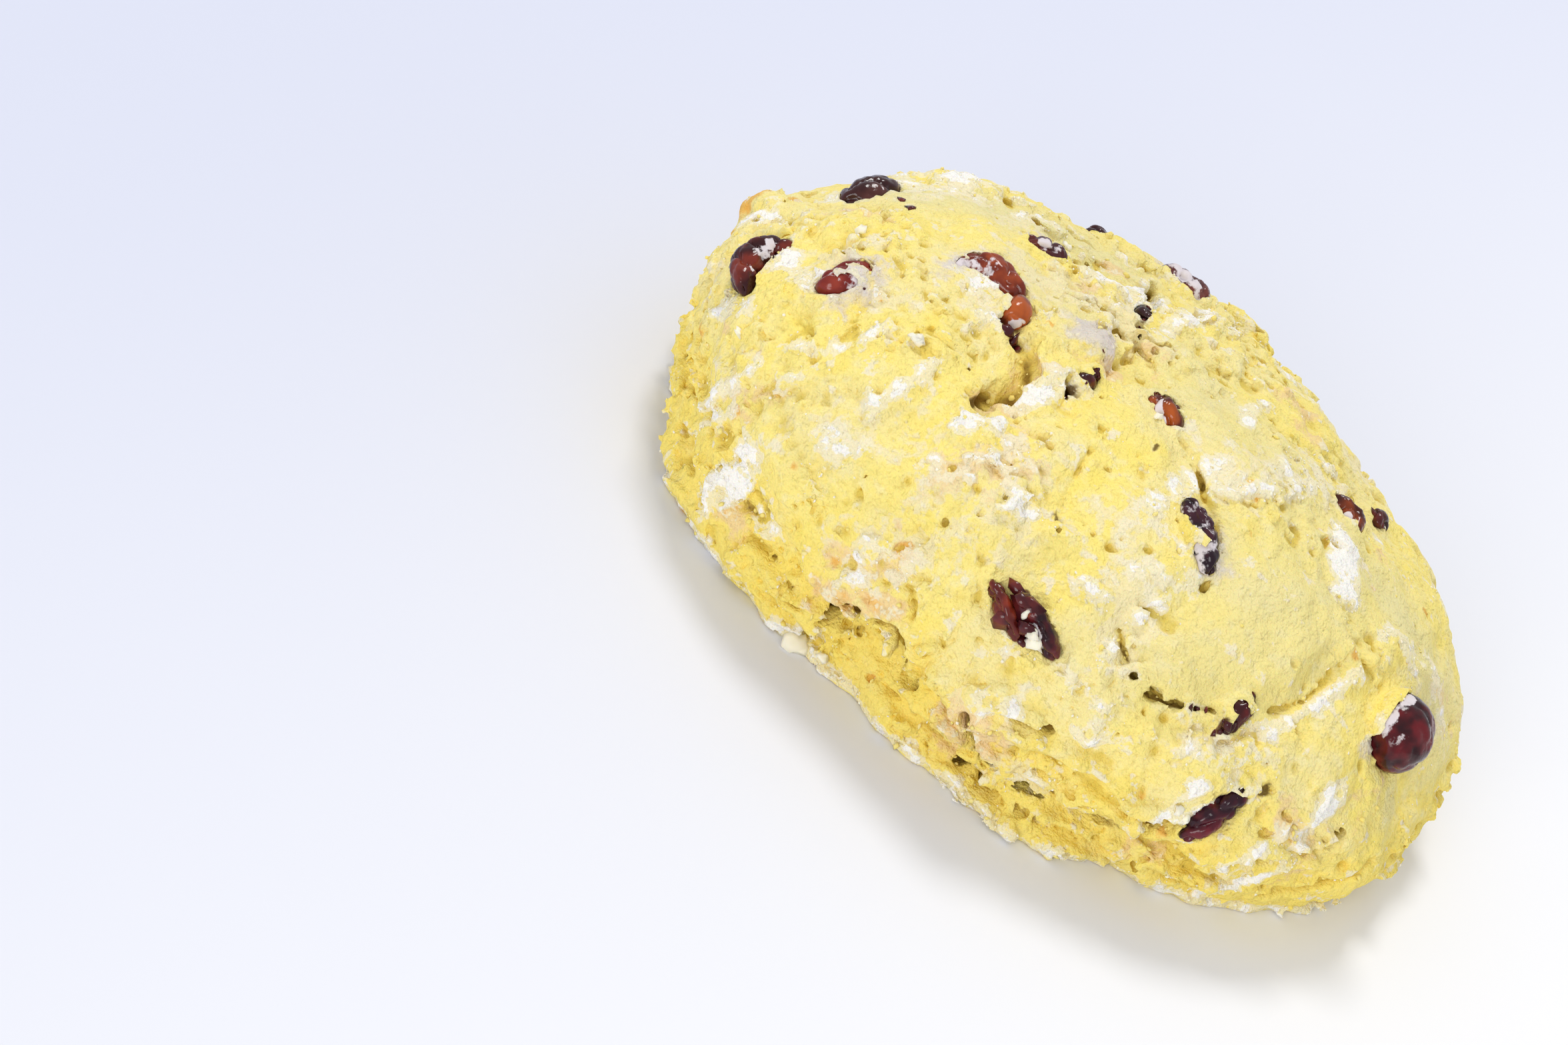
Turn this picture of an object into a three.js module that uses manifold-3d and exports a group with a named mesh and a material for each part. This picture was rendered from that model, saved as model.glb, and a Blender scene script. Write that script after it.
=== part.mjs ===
// A rustic fruit scone: one free-form mound of soft dough, baked on a flat sheet. Its crust domed,
// split and slumped over its own foot, and dried cranberries are bedded in its surface.
//
// Millimetres, +Z up. The origin is under the middle of the base, and the long side lies along X.
// A spot on the crust is named by two angles in degrees: its azimuth, anticlockwise from +X as
// seen from above, and its polar angle, 0 at the crown, 90 on the widest ring and 118 at the
// edge of the foot.

import * as THREE from 'three';
import { ImprovedNoise } from 'three/addons/math/ImprovedNoise.js';
import { mergeVertices } from 'three/addons/utils/BufferGeometryUtils.js';
import Module from 'manifold-3d';

const { clamp, degToRad, lerp, mapLinear, smoothstep } = THREE.MathUtils;

// ---- Driving dimensions ----

const LENGTH = 101.7;
const WIDTH = 84.7;
const HEIGHT = 36.5;
const BELLY_HEIGHT = 10; // the widest ring, above the base
const FOOT_INSET = 0.07; // how far the foot draws in under the belly, as a share of the radius
const CROWN_SHIFT = { x: -8, y: -2.8 }; // from the middle of the base to under the crown
const DOME_FULLNESS = { radial: 0.95, upright: 0.9 }; // 1 is a plain ellipsoid, less is fuller
const CENTRING = { x: 0.6, y: -0.5 }; // brings the lumpy outline's middle over the origin

const BELLY_POLAR = 90;
const FOOT_POLAR = 118;
const UNDERSIDE_POLAR = 180;

const BODY_DIVISIONS = 16; // of each edge of the icosahedron under the dough's skin
const BERRY_GAP = 0.4; // between a berry and the dough round it

// The plan outline's waves: an oval, then the unevenness of a hand-shaped round.
const OUTLINE_WAVES = [
  { turns: 2, cosine: (LENGTH - WIDTH) / 4, sine: -1.1 },
  { turns: 3, cosine: 0, sine: -0.7 },
  { turns: 4, cosine: 0, sine: 0.35 },
];

// ---- Relief of the crust ----

// Round swells and dents: where, how wide, and how far out (or in, below zero).
const SWELLS = [
  { at: [-37, 40], radius: 11, rise: 2.0 }, // the smooth puffed cheek
  { at: [177, 70], radius: 4, rise: 1.8 },
  { at: [177, 53], radius: 8, rise: -2.4 },
  { at: [165, 65], radius: 8, rise: -0.9 },
  { at: [160, 45], radius: 8, rise: -0.5 },
  { at: [118, 26], radius: 14, rise: -2.7 },
  { at: [84, 38], radius: 10, rise: -1.0 },
  { at: [20, 44], radius: 10, rise: -2.2 },
  { at: [39, 59], radius: 10, rise: -1.1 },
  { at: [-10, 78], radius: 9, rise: -2.8 },
  { at: [3, 88], radius: 8, rise: -0.4 },
  { at: [-18, 102], radius: 8, rise: 1.4 },
  { at: [-38, 110], radius: 9, rise: 1.0 },
  { at: [-53, 106], radius: 6, rise: -1.0 },
  { at: [-158, 88], radius: 13, rise: -1.7 },
  { at: [-113, 29], radius: 4.5, rise: -1.9 }, // the torn crater beside the crown
  { at: [-104, 30], radius: 3, rise: -1.0 },
  { at: [-128, 42], radius: 9, rise: 0.9 },
  { at: [-95, 48], radius: 8, rise: 0.8 },
  { at: [100, 62], radius: 12, rise: 1.2 },
  { at: [140, 70], radius: 9, rise: -0.9 },
];

// Splits in the crust, each along a line of spots.
const SPLITS = [
  { path: [[98, 13.5], [67, 1], [-80, 8.5], [-96, 23]], width: 1.9, depth: 1.7 },
  { path: [[67, 1], [-42, 9.5], [-41.5, 19], [-44.5, 27.5], [-49, 38.5], [-59.5, 49.5]],
    width: 1.9, depth: 1.8 },
  { path: [[-67, 57], [-64.5, 63], [-59, 64], [-51.5, 62], [-45, 60.5], [-38, 59], [-27.5, 52]],
    width: 1.9, depth: 2.3 }, // the crescent under the cheek
  { path: [[-129.5, 19], [-115.5, 27.5], [-112, 35.5]], width: 2.2, depth: 1.2 },
  { path: [[-123, 39.5], [-119, 51.5]], width: 2.2, depth: 1.0 },
  { path: [[-80.5, 28.5], [-83.5, 38], [-83.5, 43]], width: 1.7, depth: 1.6 },
  { path: [[52, 38], [72, 47], [92, 47], [108, 40]], width: 2.0, depth: 1.5 },
  { path: [[138, 50], [147, 62], [150, 76]], width: 2.0, depth: 1.3 },
];

// Lips: lines where the upper dough slumped over the foot, with a step in below them.
// Their spots run anticlockwise, and the step fades out at both ends.
const LIPS = [
  { path: [[-122, 101], [-115, 96], [-107, 88], [-97, 89], [-90.5, 88.5], [-86, 94.5],
    [-79.5, 98], [-70, 97], [-61.5, 93.5], [-54, 92]], depth: 2.6 },
  { path: [[-88, 86], [-82.5, 87], [-76, 85.5], [-69.5, 86.5], [-60.5, 89.5], [-53.5, 90.5],
    [-45, 89.5], [-36.5, 86.5], [-29.5, 82.5], [-22, 80]], depth: 1.5 },
  { path: [[32, 90], [52, 86], [74, 91], [98, 88], [118, 93]], depth: 1.6 },
  { path: [[142, 92], [158, 87], [176, 91]], depth: 1.2 },
];
const LIP_STEP = 4; // degrees over which the step drops in
const LIP_FADE = 9; // degrees over which a lip's ends run out
const LIP_BROW = 0.8; // how far the lip's own edge stands out

// Where the foot spreads out on the sheet: the middle of each spread and how wide and far it goes.
const FOOT_SPREADS = [
  { azimuth: -143, spread: 16, out: 2.6 },
  { azimuth: -98, spread: 17, out: 2.3 },
  { azimuth: -73, spread: 14, out: 2.2 },
  { azimuth: 88, spread: 26, out: 1.6 },
];
const FOOT_SPREAD_TOP = 99;

// Lumps at three scales, and the ragged edge of the foot.
const LUMPS = [
  { size: 15, rise: 1.1 },
  { size: 7, rise: 0.75 },
  { size: 3.8, rise: 0.35 },
];
const RAGGED_EDGE = { size: 3.4, rise: 1.1, from: 100 };
const LAYERS = { from: -125, to: -12, top: 76, every: 7, rise: 0.45 }; // flaky, round the front

// ---- Cranberries ----

// turn is the long axis's angle from level towards the crown, and sink how deep the berry's
// middle lies under the crust, or above it, below zero. bend curves the long axis sideways.
const BERRIES = [
  { name: 'cranberry_top_left', at: [167.5, 47.8], turn: 174, size: [9, 5, 4.6], sink: 0.6 },
  { name: 'cranberry_left', at: [-161, 60.3], turn: 148, size: [9.8, 4.2, 5], sink: 0.6, bend: -2.4 },
  { name: 'cranberry_left_inner', at: [-152.5, 42.5], turn: 117, size: [7.4, 4.2, 4], sink: 1 },
  { name: 'cranberry_floury_arc', at: [-167, 18.5], turn: 82, size: [9, 4.6, 4.4], sink: 1, bend: -1.8 },
  { name: 'cranberry_amber', at: [-144.5, 16.3], turn: 150, size: [5.4, 3.8, 3.8], sink: 0.7 },
  { name: 'cranberry_top_sliver', at: [148, 19.3], turn: 141, size: [6, 3.2, 3.2], sink: 0.3 },
  { name: 'cranberry_top_edge', at: [92, 43.5], turn: 142, size: [8.4, 5, 5], sink: 0.3 },
  { name: 'cranberry_split_top', at: [91.5, 13], turn: 97, size: [4.8, 2.6, 3], sink: 0.2 },
  { name: 'cranberry_veiled', at: [-117, 7.5], turn: 92, size: [6, 4.8, 4], sink: 1.5 },
  { name: 'cranberry_split_left', at: [-96.5, 14], turn: 80, size: [5.4, 2.4, 3], sink: 0.3 },
  { name: 'cranberry_crown', at: [-40, 11], turn: 93, size: [6, 4.4, 4], sink: 0 },
  { name: 'cranberry_split_front', at: [-50.2, 33.5], turn: 101, size: [9.4, 2.8, 4], sink: 0, bend: 0.7 },
  { name: 'cranberry_hook', at: [9, 36], turn: 37, size: [5.4, 3.6, 3.6], sink: 0.4, bend: 1.6 },
  { name: 'cranberry_right_small', at: [27, 49.5], turn: 90, size: [3.6, 2.8, 3], sink: 0.4 },
  { name: 'cranberry_front_brown', at: [-87.1, 66.3], turn: 148, size: [7.4, 1.9, 3.4], sink: -0.3 },
  { name: 'cranberry_front_dark', at: [-81.4, 64.6], turn: 150, size: [8.4, 2.5, 4], sink: -0.2 },
  { name: 'cranberry_right', at: [-16.7, 64.2], turn: 20, size: [9.6, 8.4, 7.6], sink: -0.6 },
  { name: 'cranberry_crescent', at: [-47, 61], turn: 53, size: [6.2, 2.8, 3.4], sink: -0.7 },
  { name: 'cranberry_slot', at: [-49.8, 82.1], turn: 58, size: [9.6, 3, 3.8], sink: 0.8 },
  { name: 'cranberry_back_right', at: [52, 79], turn: 20, size: [8, 5, 4.6], sink: 0.8 },
  { name: 'cranberry_back_low', at: [88, 72], turn: 140, size: [9, 5.4, 5], sink: 0.8, bend: 0.9 },
  { name: 'cranberry_back_high', at: [112, 67], turn: 60, size: [7, 4.6, 4.2], sink: 0.8 },
  { name: 'cranberry_back_left', at: [146, 84], turn: 30, size: [8, 4.6, 4.6], sink: 0.8 },
];
const BERRY_WRINKLE = 0.11; // of the berry's radius
const SMALL_BERRY = 6.5; // shorter berries than this take fewer facets

// ---- Materials ----

const dough = new THREE.MeshStandardMaterial({ color: 0xefdc95, roughness: 0.95, metalness: 0 });
const cranberry = new THREE.MeshStandardMaterial({ color: 0x5a201f, roughness: 0.35, metalness: 0 });

// ---- The plain mound ----

const noise = new ImprovedNoise();

// A lumpy value of about -1 to 1 at a place, for lumps of the given size.
function lump(place, size, salt = 0) {
  return noise.noise(place.x / size + salt, place.y / size - salt, place.z / size + 0.5);
}

// The belly's radius at an azimuth.
function outlineRadius(azimuth) {
  const angle = degToRad(azimuth);
  const waves = OUTLINE_WAVES.map(
    (wave) => wave.cosine * Math.cos(wave.turns * angle) + wave.sine * Math.sin(wave.turns * angle),
  );
  return waves.reduce((sum, wave) => sum + wave, (LENGTH + WIDTH) / 4);
}

// The mound's skin before any relief: a full dome down to the belly, a wall that draws in
// towards the foot, and a flat underside.
function plainPoint(azimuth, polar) {
  const around = degToRad(azimuth);
  const belly = outlineRadius(azimuth);
  let radius, height, lean;
  if (polar <= BELLY_POLAR) {
    const down = degToRad(polar);
    const rise = Math.max(Math.cos(down), 0);
    radius = belly * Math.sin(down) ** DOME_FULLNESS.radial;
    height = BELLY_HEIGHT + (HEIGHT - BELLY_HEIGHT) * rise ** DOME_FULLNESS.upright;
    lean = rise;
  } else {
    const drop = clamp((polar - BELLY_POLAR) / (FOOT_POLAR - BELLY_POLAR), 0, 1);
    const inward = clamp((polar - FOOT_POLAR) / (UNDERSIDE_POLAR - FOOT_POLAR), 0, 1);
    radius = belly * (1 - FOOT_INSET * drop ** 2) * (1 - inward);
    height = BELLY_HEIGHT * (1 - drop);
    lean = 0;
  }
  return new THREE.Vector3(
    radius * Math.cos(around) + CROWN_SHIFT.x * lean + CENTRING.x,
    radius * Math.sin(around) + CROWN_SHIFT.y * lean + CENTRING.y,
    height,
  );
}

// The way out of the dough at a spot: square to the dome above the belly, level below it.
function outward(azimuth, polar) {
  const around = degToRad(azimuth);
  const down = degToRad(Math.min(polar, BELLY_POLAR));
  const level = Math.sin(down) / outlineRadius(azimuth);
  const upright = Math.max(Math.cos(down), 0) / (HEIGHT - BELLY_HEIGHT);
  return new THREE.Vector3(level * Math.cos(around), level * Math.sin(around), upright).normalize();
}

// ---- Relief ----

// How far a place is from a line of points.
function distanceToLine(place, line) {
  const nearest = new THREE.Vector3();
  const step = new THREE.Line3();
  let least = Infinity;
  for (let i = 1; i < line.length; i++) {
    step.set(line[i - 1], line[i]).closestPointToPoint(place, true, nearest);
    least = Math.min(least, nearest.distanceTo(place));
  }
  return least;
}

// A smooth line over the mound through a list of spots.
function lineOver(path) {
  const spots = path.map(([azimuth, polar]) => plainPoint(azimuth, polar));
  return new THREE.CatmullRomCurve3(spots).getPoints(6 * path.length);
}

const swellCentres = SWELLS.map((swell) => plainPoint(...swell.at));
const splitLines = SPLITS.map((split) => lineOver(split.path));

function swellRise(place) {
  return SWELLS.reduce((sum, swell, i) => {
    const away = place.distanceTo(swellCentres[i]) / swell.radius;
    return sum + swell.rise * Math.exp(-(away ** 2));
  }, 0);
}

function splitRise(place) {
  return SPLITS.reduce((sum, split, i) => {
    const away = distanceToLine(place, splitLines[i]) / split.width;
    return sum - split.depth * Math.exp(-(away ** 2));
  }, 0);
}

// A lip's polar angle at an azimuth, between the spots of its path.
function lipPolar(path, azimuth) {
  const next = path.findIndex((spot) => spot[0] >= azimuth);
  const [from, to] = [path[next - 1], path[next]];
  return mapLinear(azimuth, from[0], to[0], from[1], to[1]);
}

function lipRise(azimuth, polar) {
  return LIPS.reduce((sum, { path, depth }) => {
    const first = path[0][0];
    const last = path[path.length - 1][0];
    if (azimuth <= first || azimuth >= last) return sum;
    const ends = smoothstep(azimuth, first, first + LIP_FADE) * smoothstep(-azimuth, -last, LIP_FADE - last);
    const below = polar - lipPolar(path, azimuth);
    const recovery = smoothstep(polar, lerp(polar - below, FOOT_POLAR, 0.25), FOOT_POLAR);
    const step = depth * smoothstep(below, 0, LIP_STEP) * (1 - recovery);
    const brow = LIP_BROW * Math.exp(-((below / LIP_STEP) ** 2));
    return sum + ends * (brow - step);
  }, 0);
}

function footSpread(azimuth, polar) {
  const spread = FOOT_SPREADS.reduce(
    (sum, foot) => sum + foot.out * Math.exp(-(((azimuth - foot.azimuth) / foot.spread) ** 2)),
    0,
  );
  return spread * smoothstep(polar, FOOT_SPREAD_TOP, FOOT_POLAR);
}

// Flaky layers, as ridges that run level round the front under the cheek.
function layerRise(azimuth, polar, place) {
  const { from, to, top, every, rise } = LAYERS;
  const across = smoothstep(azimuth, from, from + 15) * smoothstep(-azimuth, -to, 15 - to);
  const down = smoothstep(polar, top, top + every);
  const wander = 0.8 * lump(place, 9, 5.3);
  return rise * across * down * Math.sin(2 * Math.PI * (polar / every + wander));
}

// How far the crust stands out from the plain mound at a spot.
function reliefRise(azimuth, polar) {
  const place = plainPoint(azimuth, polar);
  const lumps = LUMPS.reduce((sum, { size, rise }, i) => sum + rise * lump(place, size, 2.7 * i), 0);
  const ragged = RAGGED_EDGE.rise * lump(place, RAGGED_EDGE.size, 9.1);
  return (
    lumps +
    swellRise(place) +
    splitRise(place) +
    lipRise(azimuth, polar) +
    footSpread(azimuth, polar) +
    layerRise(azimuth, polar, place) +
    ragged * smoothstep(polar, RAGGED_EDGE.from, FOOT_POLAR)
  );
}

// A point of the finished crust. The underside stays flat and follows the foot's edge.
function crustPoint(azimuth, polar) {
  const onEdge = Math.min(polar, FOOT_POLAR);
  const inward = clamp((polar - FOOT_POLAR) / (UNDERSIDE_POLAR - FOOT_POLAR), 0, 1);
  const out = outward(azimuth, onEdge).multiplyScalar(reliefRise(azimuth, onEdge) * (1 - inward));
  return plainPoint(azimuth, polar).add(out);
}

// ---- Solids ----

const wasm = await Module();
wasm.setup();

// An icosahedron's facets as one closed skin of radius 1.
function closedSphere(divisions) {
  const sphere = new THREE.IcosahedronGeometry(1, divisions);
  sphere.deleteAttribute('normal');
  sphere.deleteAttribute('uv');
  return mergeVertices(sphere);
}

// Moves every vertex of a closed skin to where the given function puts it.
function reshape(geometry, place) {
  const position = geometry.attributes.position;
  const vertex = new THREE.Vector3();
  for (let i = 0; i < position.count; i++) {
    vertex.fromBufferAttribute(position, i);
    position.setXYZ(i, ...place(vertex).toArray());
  }
  return geometry;
}

function toManifold(geometry) {
  return new wasm.Manifold(new wasm.Mesh({
    numProp: 3,
    vertProperties: new Float32Array(geometry.attributes.position.array),
    triVerts: new Uint32Array(geometry.index.array),
  }));
}

function toGeometry(manifold) {
  const mesh = manifold.getMesh();
  const geometry = new THREE.BufferGeometry();
  geometry.setAttribute('position', new THREE.BufferAttribute(new Float32Array(mesh.vertProperties), 3));
  geometry.setIndex(new THREE.BufferAttribute(new Uint32Array(mesh.triVerts), 1));
  geometry.computeVertexNormals();
  return geometry;
}

// The icosahedron's own polar angles at which the belly and the foot's edge lie, so that most
// facets fall on the crust that shows.
const SPHERE_BELLY = 125;
const SPHERE_FOOT = 146;

function doughPolar(spherePolar) {
  if (spherePolar <= SPHERE_BELLY) return mapLinear(spherePolar, 0, SPHERE_BELLY, 0, BELLY_POLAR);
  if (spherePolar <= SPHERE_FOOT)
    return mapLinear(spherePolar, SPHERE_BELLY, SPHERE_FOOT, BELLY_POLAR, FOOT_POLAR);
  return mapLinear(spherePolar, SPHERE_FOOT, 180, FOOT_POLAR, UNDERSIDE_POLAR);
}

function moundGeometry() {
  return reshape(closedSphere(BODY_DIVISIONS), (direction) => {
    const azimuth = THREE.MathUtils.radToDeg(Math.atan2(direction.y, direction.x));
    const spherePolar = THREE.MathUtils.radToDeg(Math.acos(clamp(direction.z, -1, 1)));
    return crustPoint(azimuth, doughPolar(spherePolar));
  });
}

// A dried cranberry, long axis along X and flat side down, larger all round by grow.
function berryGeometry({ size, bend = 0 }, salt, grow = 0) {
  const [length, width, height] = size.map((side) => side + 2 * grow);
  const divisions = size[0] < SMALL_BERRY ? 1 : 2;
  return reshape(closedSphere(divisions), (direction) => {
    const wrinkle = 1 + BERRY_WRINKLE * lump(direction, 0.45, salt);
    const curve = bend * (direction.x ** 2 - 0.4);
    return new THREE.Vector3(
      wrinkle * direction.x * length / 2,
      wrinkle * direction.y * width / 2 + curve,
      wrinkle * direction.z * height / 2,
    );
  });
}

// The berry's seat on the crust: where its middle is, and which way it lies.
function berrySeat({ at: [azimuth, polar], turn, sink }) {
  const out = outward(azimuth, polar);
  const level = new THREE.Vector3(0, 0, 1).cross(out).normalize();
  const uphill = out.clone().cross(level);
  const swing = degToRad(turn);
  const along = level.multiplyScalar(Math.cos(swing)).addScaledVector(uphill, Math.sin(swing));
  return new THREE.Matrix4()
    .makeBasis(along, out.clone().cross(along), out)
    .setPosition(crustPoint(azimuth, polar).addScaledVector(out, -sink));
}

function berryMesh(berry, salt) {
  const mesh = new THREE.Mesh(berryGeometry(berry, salt), cranberry);
  mesh.name = berry.name;
  mesh.applyMatrix4(berrySeat(berry));
  mesh.geometry.computeVertexNormals();
  return mesh;
}

// The mound with a pocket for each berry.
function sconeMesh() {
  let body = toManifold(moundGeometry());
  BERRIES.forEach((berry, salt) => {
    const pocket = berryGeometry(berry, salt, BERRY_GAP).applyMatrix4(berrySeat(berry));
    body = body.subtract(toManifold(pocket));
  });
  const mesh = new THREE.Mesh(toGeometry(body), dough);
  mesh.name = 'scone_body';
  return mesh;
}

const scone = new THREE.Group();
scone.name = 'fruit_scone';
scone.add(sconeMesh(), ...BERRIES.map(berryMesh));

export default scone;
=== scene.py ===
import math
from typing import NamedTuple

import bmesh
import bpy
import numpy as np
import openvdb
from mathutils import Matrix, Vector, noise
from mathutils.bvhtree import BVHTree


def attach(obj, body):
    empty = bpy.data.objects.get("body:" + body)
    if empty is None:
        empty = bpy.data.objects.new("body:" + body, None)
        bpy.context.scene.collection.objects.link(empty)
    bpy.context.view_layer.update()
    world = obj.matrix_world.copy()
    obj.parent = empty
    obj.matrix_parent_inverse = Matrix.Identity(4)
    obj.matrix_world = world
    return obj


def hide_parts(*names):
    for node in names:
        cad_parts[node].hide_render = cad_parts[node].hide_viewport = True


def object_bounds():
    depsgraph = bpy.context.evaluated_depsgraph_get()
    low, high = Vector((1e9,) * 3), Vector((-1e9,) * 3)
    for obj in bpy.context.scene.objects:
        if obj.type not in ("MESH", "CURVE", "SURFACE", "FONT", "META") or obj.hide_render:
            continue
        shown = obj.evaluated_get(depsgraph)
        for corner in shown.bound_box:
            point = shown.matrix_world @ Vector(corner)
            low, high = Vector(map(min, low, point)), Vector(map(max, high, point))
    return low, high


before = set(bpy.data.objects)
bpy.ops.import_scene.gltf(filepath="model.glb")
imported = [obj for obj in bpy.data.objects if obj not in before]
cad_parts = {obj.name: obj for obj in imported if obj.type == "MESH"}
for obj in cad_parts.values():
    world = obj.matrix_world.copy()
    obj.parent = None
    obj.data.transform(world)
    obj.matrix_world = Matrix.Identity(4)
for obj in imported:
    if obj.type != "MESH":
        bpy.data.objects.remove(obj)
cad_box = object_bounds()

# The looks of a rustic fruit scone. The crust is carved as a distance field around the CAD dough:
# lumps, flakes, pores, splits and lips are added to the field, which then becomes one closed mesh.
# Sizes below are in millimetres, and MM turns them into Blender's metres. A pixel is a place in
# the 2352 x 1568 photograph, laid on the dough along the camera's ray.

MM = 0.001
BODY = "scone_body"
BERRIES = sorted(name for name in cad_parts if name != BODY)


# ---- Camera ----

PHOTO_SIZE = (2352, 1568)
SENSOR_WIDTH = 36
LENS = 90
FOCAL_PIXELS = PHOTO_SIZE[0] * LENS / SENSOR_WIDTH
CAMERA_ELEVATION = math.radians(31)
CAMERA_ROLL = math.radians(36)
CAMERA_DISTANCE = 441
AIM = Vector((0.6, -0.5, 15))
AIM_PIXEL = (1648, 755)


def pixel_ray(pixel):
    """The way to a pixel, as steps right, up and forward from the camera."""
    right = (pixel[0] - PHOTO_SIZE[0] / 2) / FOCAL_PIXELS
    up = -(pixel[1] - PHOTO_SIZE[1] / 2) / FOCAL_PIXELS
    return Vector((right, up, 1)).normalized()


def camera_axes():
    """Rows that turn a step in the scone's frame into steps right, up and forward."""
    forward = Vector((0, math.cos(CAMERA_ELEVATION), -math.sin(CAMERA_ELEVATION)))
    level = Vector((1, 0, 0))
    upward = level.cross(forward)
    right = math.cos(CAMERA_ROLL) * level + math.sin(CAMERA_ROLL) * upward
    up = math.cos(CAMERA_ROLL) * upward - math.sin(CAMERA_ROLL) * level
    off_axis = pixel_ray(AIM_PIXEL).rotation_difference(Vector((0, 0, 1))).to_matrix()
    return off_axis.transposed() @ Matrix((right, up, forward))


AXES = camera_axes()
RIGHT, UP, FORWARD = AXES
EYE = AIM - AXES.transposed() @ pixel_ray(AIM_PIXEL) * CAMERA_DISTANCE


def add_camera():
    camera = bpy.data.objects.new("camera", bpy.data.cameras.new("camera"))
    camera.data.sensor_width = SENSOR_WIDTH
    camera.data.lens = LENS
    camera.data.clip_start = 0.01
    camera.data.clip_end = 20
    turn = Matrix((RIGHT, UP, -FORWARD)).transposed()
    camera.matrix_world = Matrix.Translation(EYE * MM) @ turn.to_4x4()
    bpy.context.scene.collection.objects.link(camera)
    bpy.context.scene.camera = camera


# ---- Meshes as points and faces, in millimetres ----

def mesh_arrays(mesh):
    """A mesh's points in millimetres, and its triangles."""
    points = np.empty(3 * len(mesh.vertices), np.float32)
    mesh.vertices.foreach_get("co", points)
    mesh.calc_loop_triangles()
    triangles = np.empty(3 * len(mesh.loop_triangles), np.int32)
    mesh.loop_triangles.foreach_get("vertices", triangles)
    return points.reshape(-1, 3) / MM, triangles.reshape(-1, 3)


def new_mesh(name, points, faces):
    """A smooth mesh object from points in millimetres and faces of one size."""
    mesh = bpy.data.meshes.new(name)
    corners = faces.shape[1]
    mesh.vertices.add(len(points))
    mesh.vertices.foreach_set("co", (np.asarray(points, np.float32) * MM).ravel())
    mesh.loops.add(faces.size)
    mesh.loops.foreach_set("vertex_index", faces.astype(np.int32).ravel())
    mesh.polygons.add(len(faces))
    mesh.polygons.foreach_set("loop_start", np.arange(0, faces.size, corners, dtype=np.int32))
    mesh.polygons.foreach_set("loop_total", np.full(len(faces), corners, np.int32))
    mesh.polygons.foreach_set("use_smooth", np.ones(len(faces), bool))
    mesh.update(calc_edges=True)
    piece = bpy.data.objects.new(name, mesh)
    bpy.context.scene.collection.objects.link(piece)
    return piece


def bvh_of(points, triangles):
    return BVHTree.FromPolygons(points.tolist(), triangles.tolist())


def joined(parts):
    """Several (points, triangles) pairs as one."""
    starts = np.cumsum([0] + [len(points) for points, _ in parts[:-1]])
    points = np.concatenate([points for points, _ in parts])
    return points, np.concatenate([tris + start for (_, tris), start in zip(parts, starts)])


# ---- The field ----
# A field is an array with one value for each cell of a grid over the CAD box. The distance field
# is negative inside the dough.

CELL = 0.36
MARGIN = 8  # cells
REACH = 12  # cells on either side of the surface that hold true distances

low_corner = np.array(cad_box[0]) / MM
high_corner = np.array(cad_box[1]) / MM
FIRST = np.floor(low_corner / CELL).astype(int) - MARGIN
SHAPE = tuple(np.ceil(high_corner / CELL).astype(int) + MARGIN - FIRST + 1)
X, Y, Z = np.ix_(*[(np.arange(n) + first) * CELL for n, first in zip(SHAPE, FIRST)])
X, Y, Z = X.astype(np.float32), Y.astype(np.float32), Z.astype(np.float32)
GRID = openvdb.createLinearTransform(voxelSize=CELL)


def distance_field(points, triangles):
    """The distance to a closed mesh, up to REACH cells."""
    grid = openvdb.FloatGrid.createLevelSetFromPolygons(
        points.astype(np.float32), triangles=triangles.astype(np.uint32), transform=GRID, halfWidth=REACH
    )
    field = np.full(SHAPE, REACH * CELL, np.float32)
    grid.copyToArray(field, ijk=tuple(int(i) for i in FIRST))
    return field


def field_surface(field):
    """The points and quads of the surface where a distance field is zero, in the same order each run."""
    grid = openvdb.FloatGrid(REACH * CELL)
    grid.transform = GRID
    grid.gridClass = openvdb.GridClass.LEVEL_SET
    grid.copyFromArray(np.ascontiguousarray(field), ijk=tuple(int(i) for i in FIRST), tolerance=0.0)
    points, quads = grid.convertToQuads(0.0)
    return points, quads[np.lexsort(quads.T), ::-1]


def at_points(field, points):
    """A field's values at points, between the cells around each."""
    place = points / CELL - FIRST
    base = np.clip(np.floor(place).astype(int), 0, np.array(SHAPE) - 2)
    part = np.clip(place - base, 0, 1)
    value = np.zeros(len(points), np.float32)
    for i in (0, 1):
        for j in (0, 1):
            for k in (0, 1):
                weight = np.abs(1 - i - part[:, 0]) * np.abs(1 - j - part[:, 1]) * np.abs(1 - k - part[:, 2])
                value += weight * field[base[:, 0] + i, base[:, 1] + j, base[:, 2] + k]
    return value


def spline_weights(count, step):
    """How much each of a line of random values, step cells apart, adds to each of count cells."""
    place = np.arange(count) / step + 1
    away = np.abs(place[:, None] - np.arange(int(count / step) + 5)[None])
    near = 2 / 3 - away**2 + away**3 / 2
    far = np.clip(2 - away, 0, None) ** 3 / 6
    return np.where(away < 1, near, far).astype(np.float32)


def lumps(size, seed, height=None):
    """A smooth random field, mostly from -1 to 1, whose lumps are about the given size and height."""
    sizes = (size, size, height or size)
    weights = [spline_weights(count, across / 2 / CELL) for count, across in zip(SHAPE, sizes)]
    field = np.random.default_rng(seed).standard_normal([w.shape[1] for w in weights]).astype(np.float32)
    for axis, weight in enumerate(weights):
        field = np.moveaxis(np.tensordot(weight, field, axes=(1, axis)), 0, axis)
    return 1.6 * field


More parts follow.
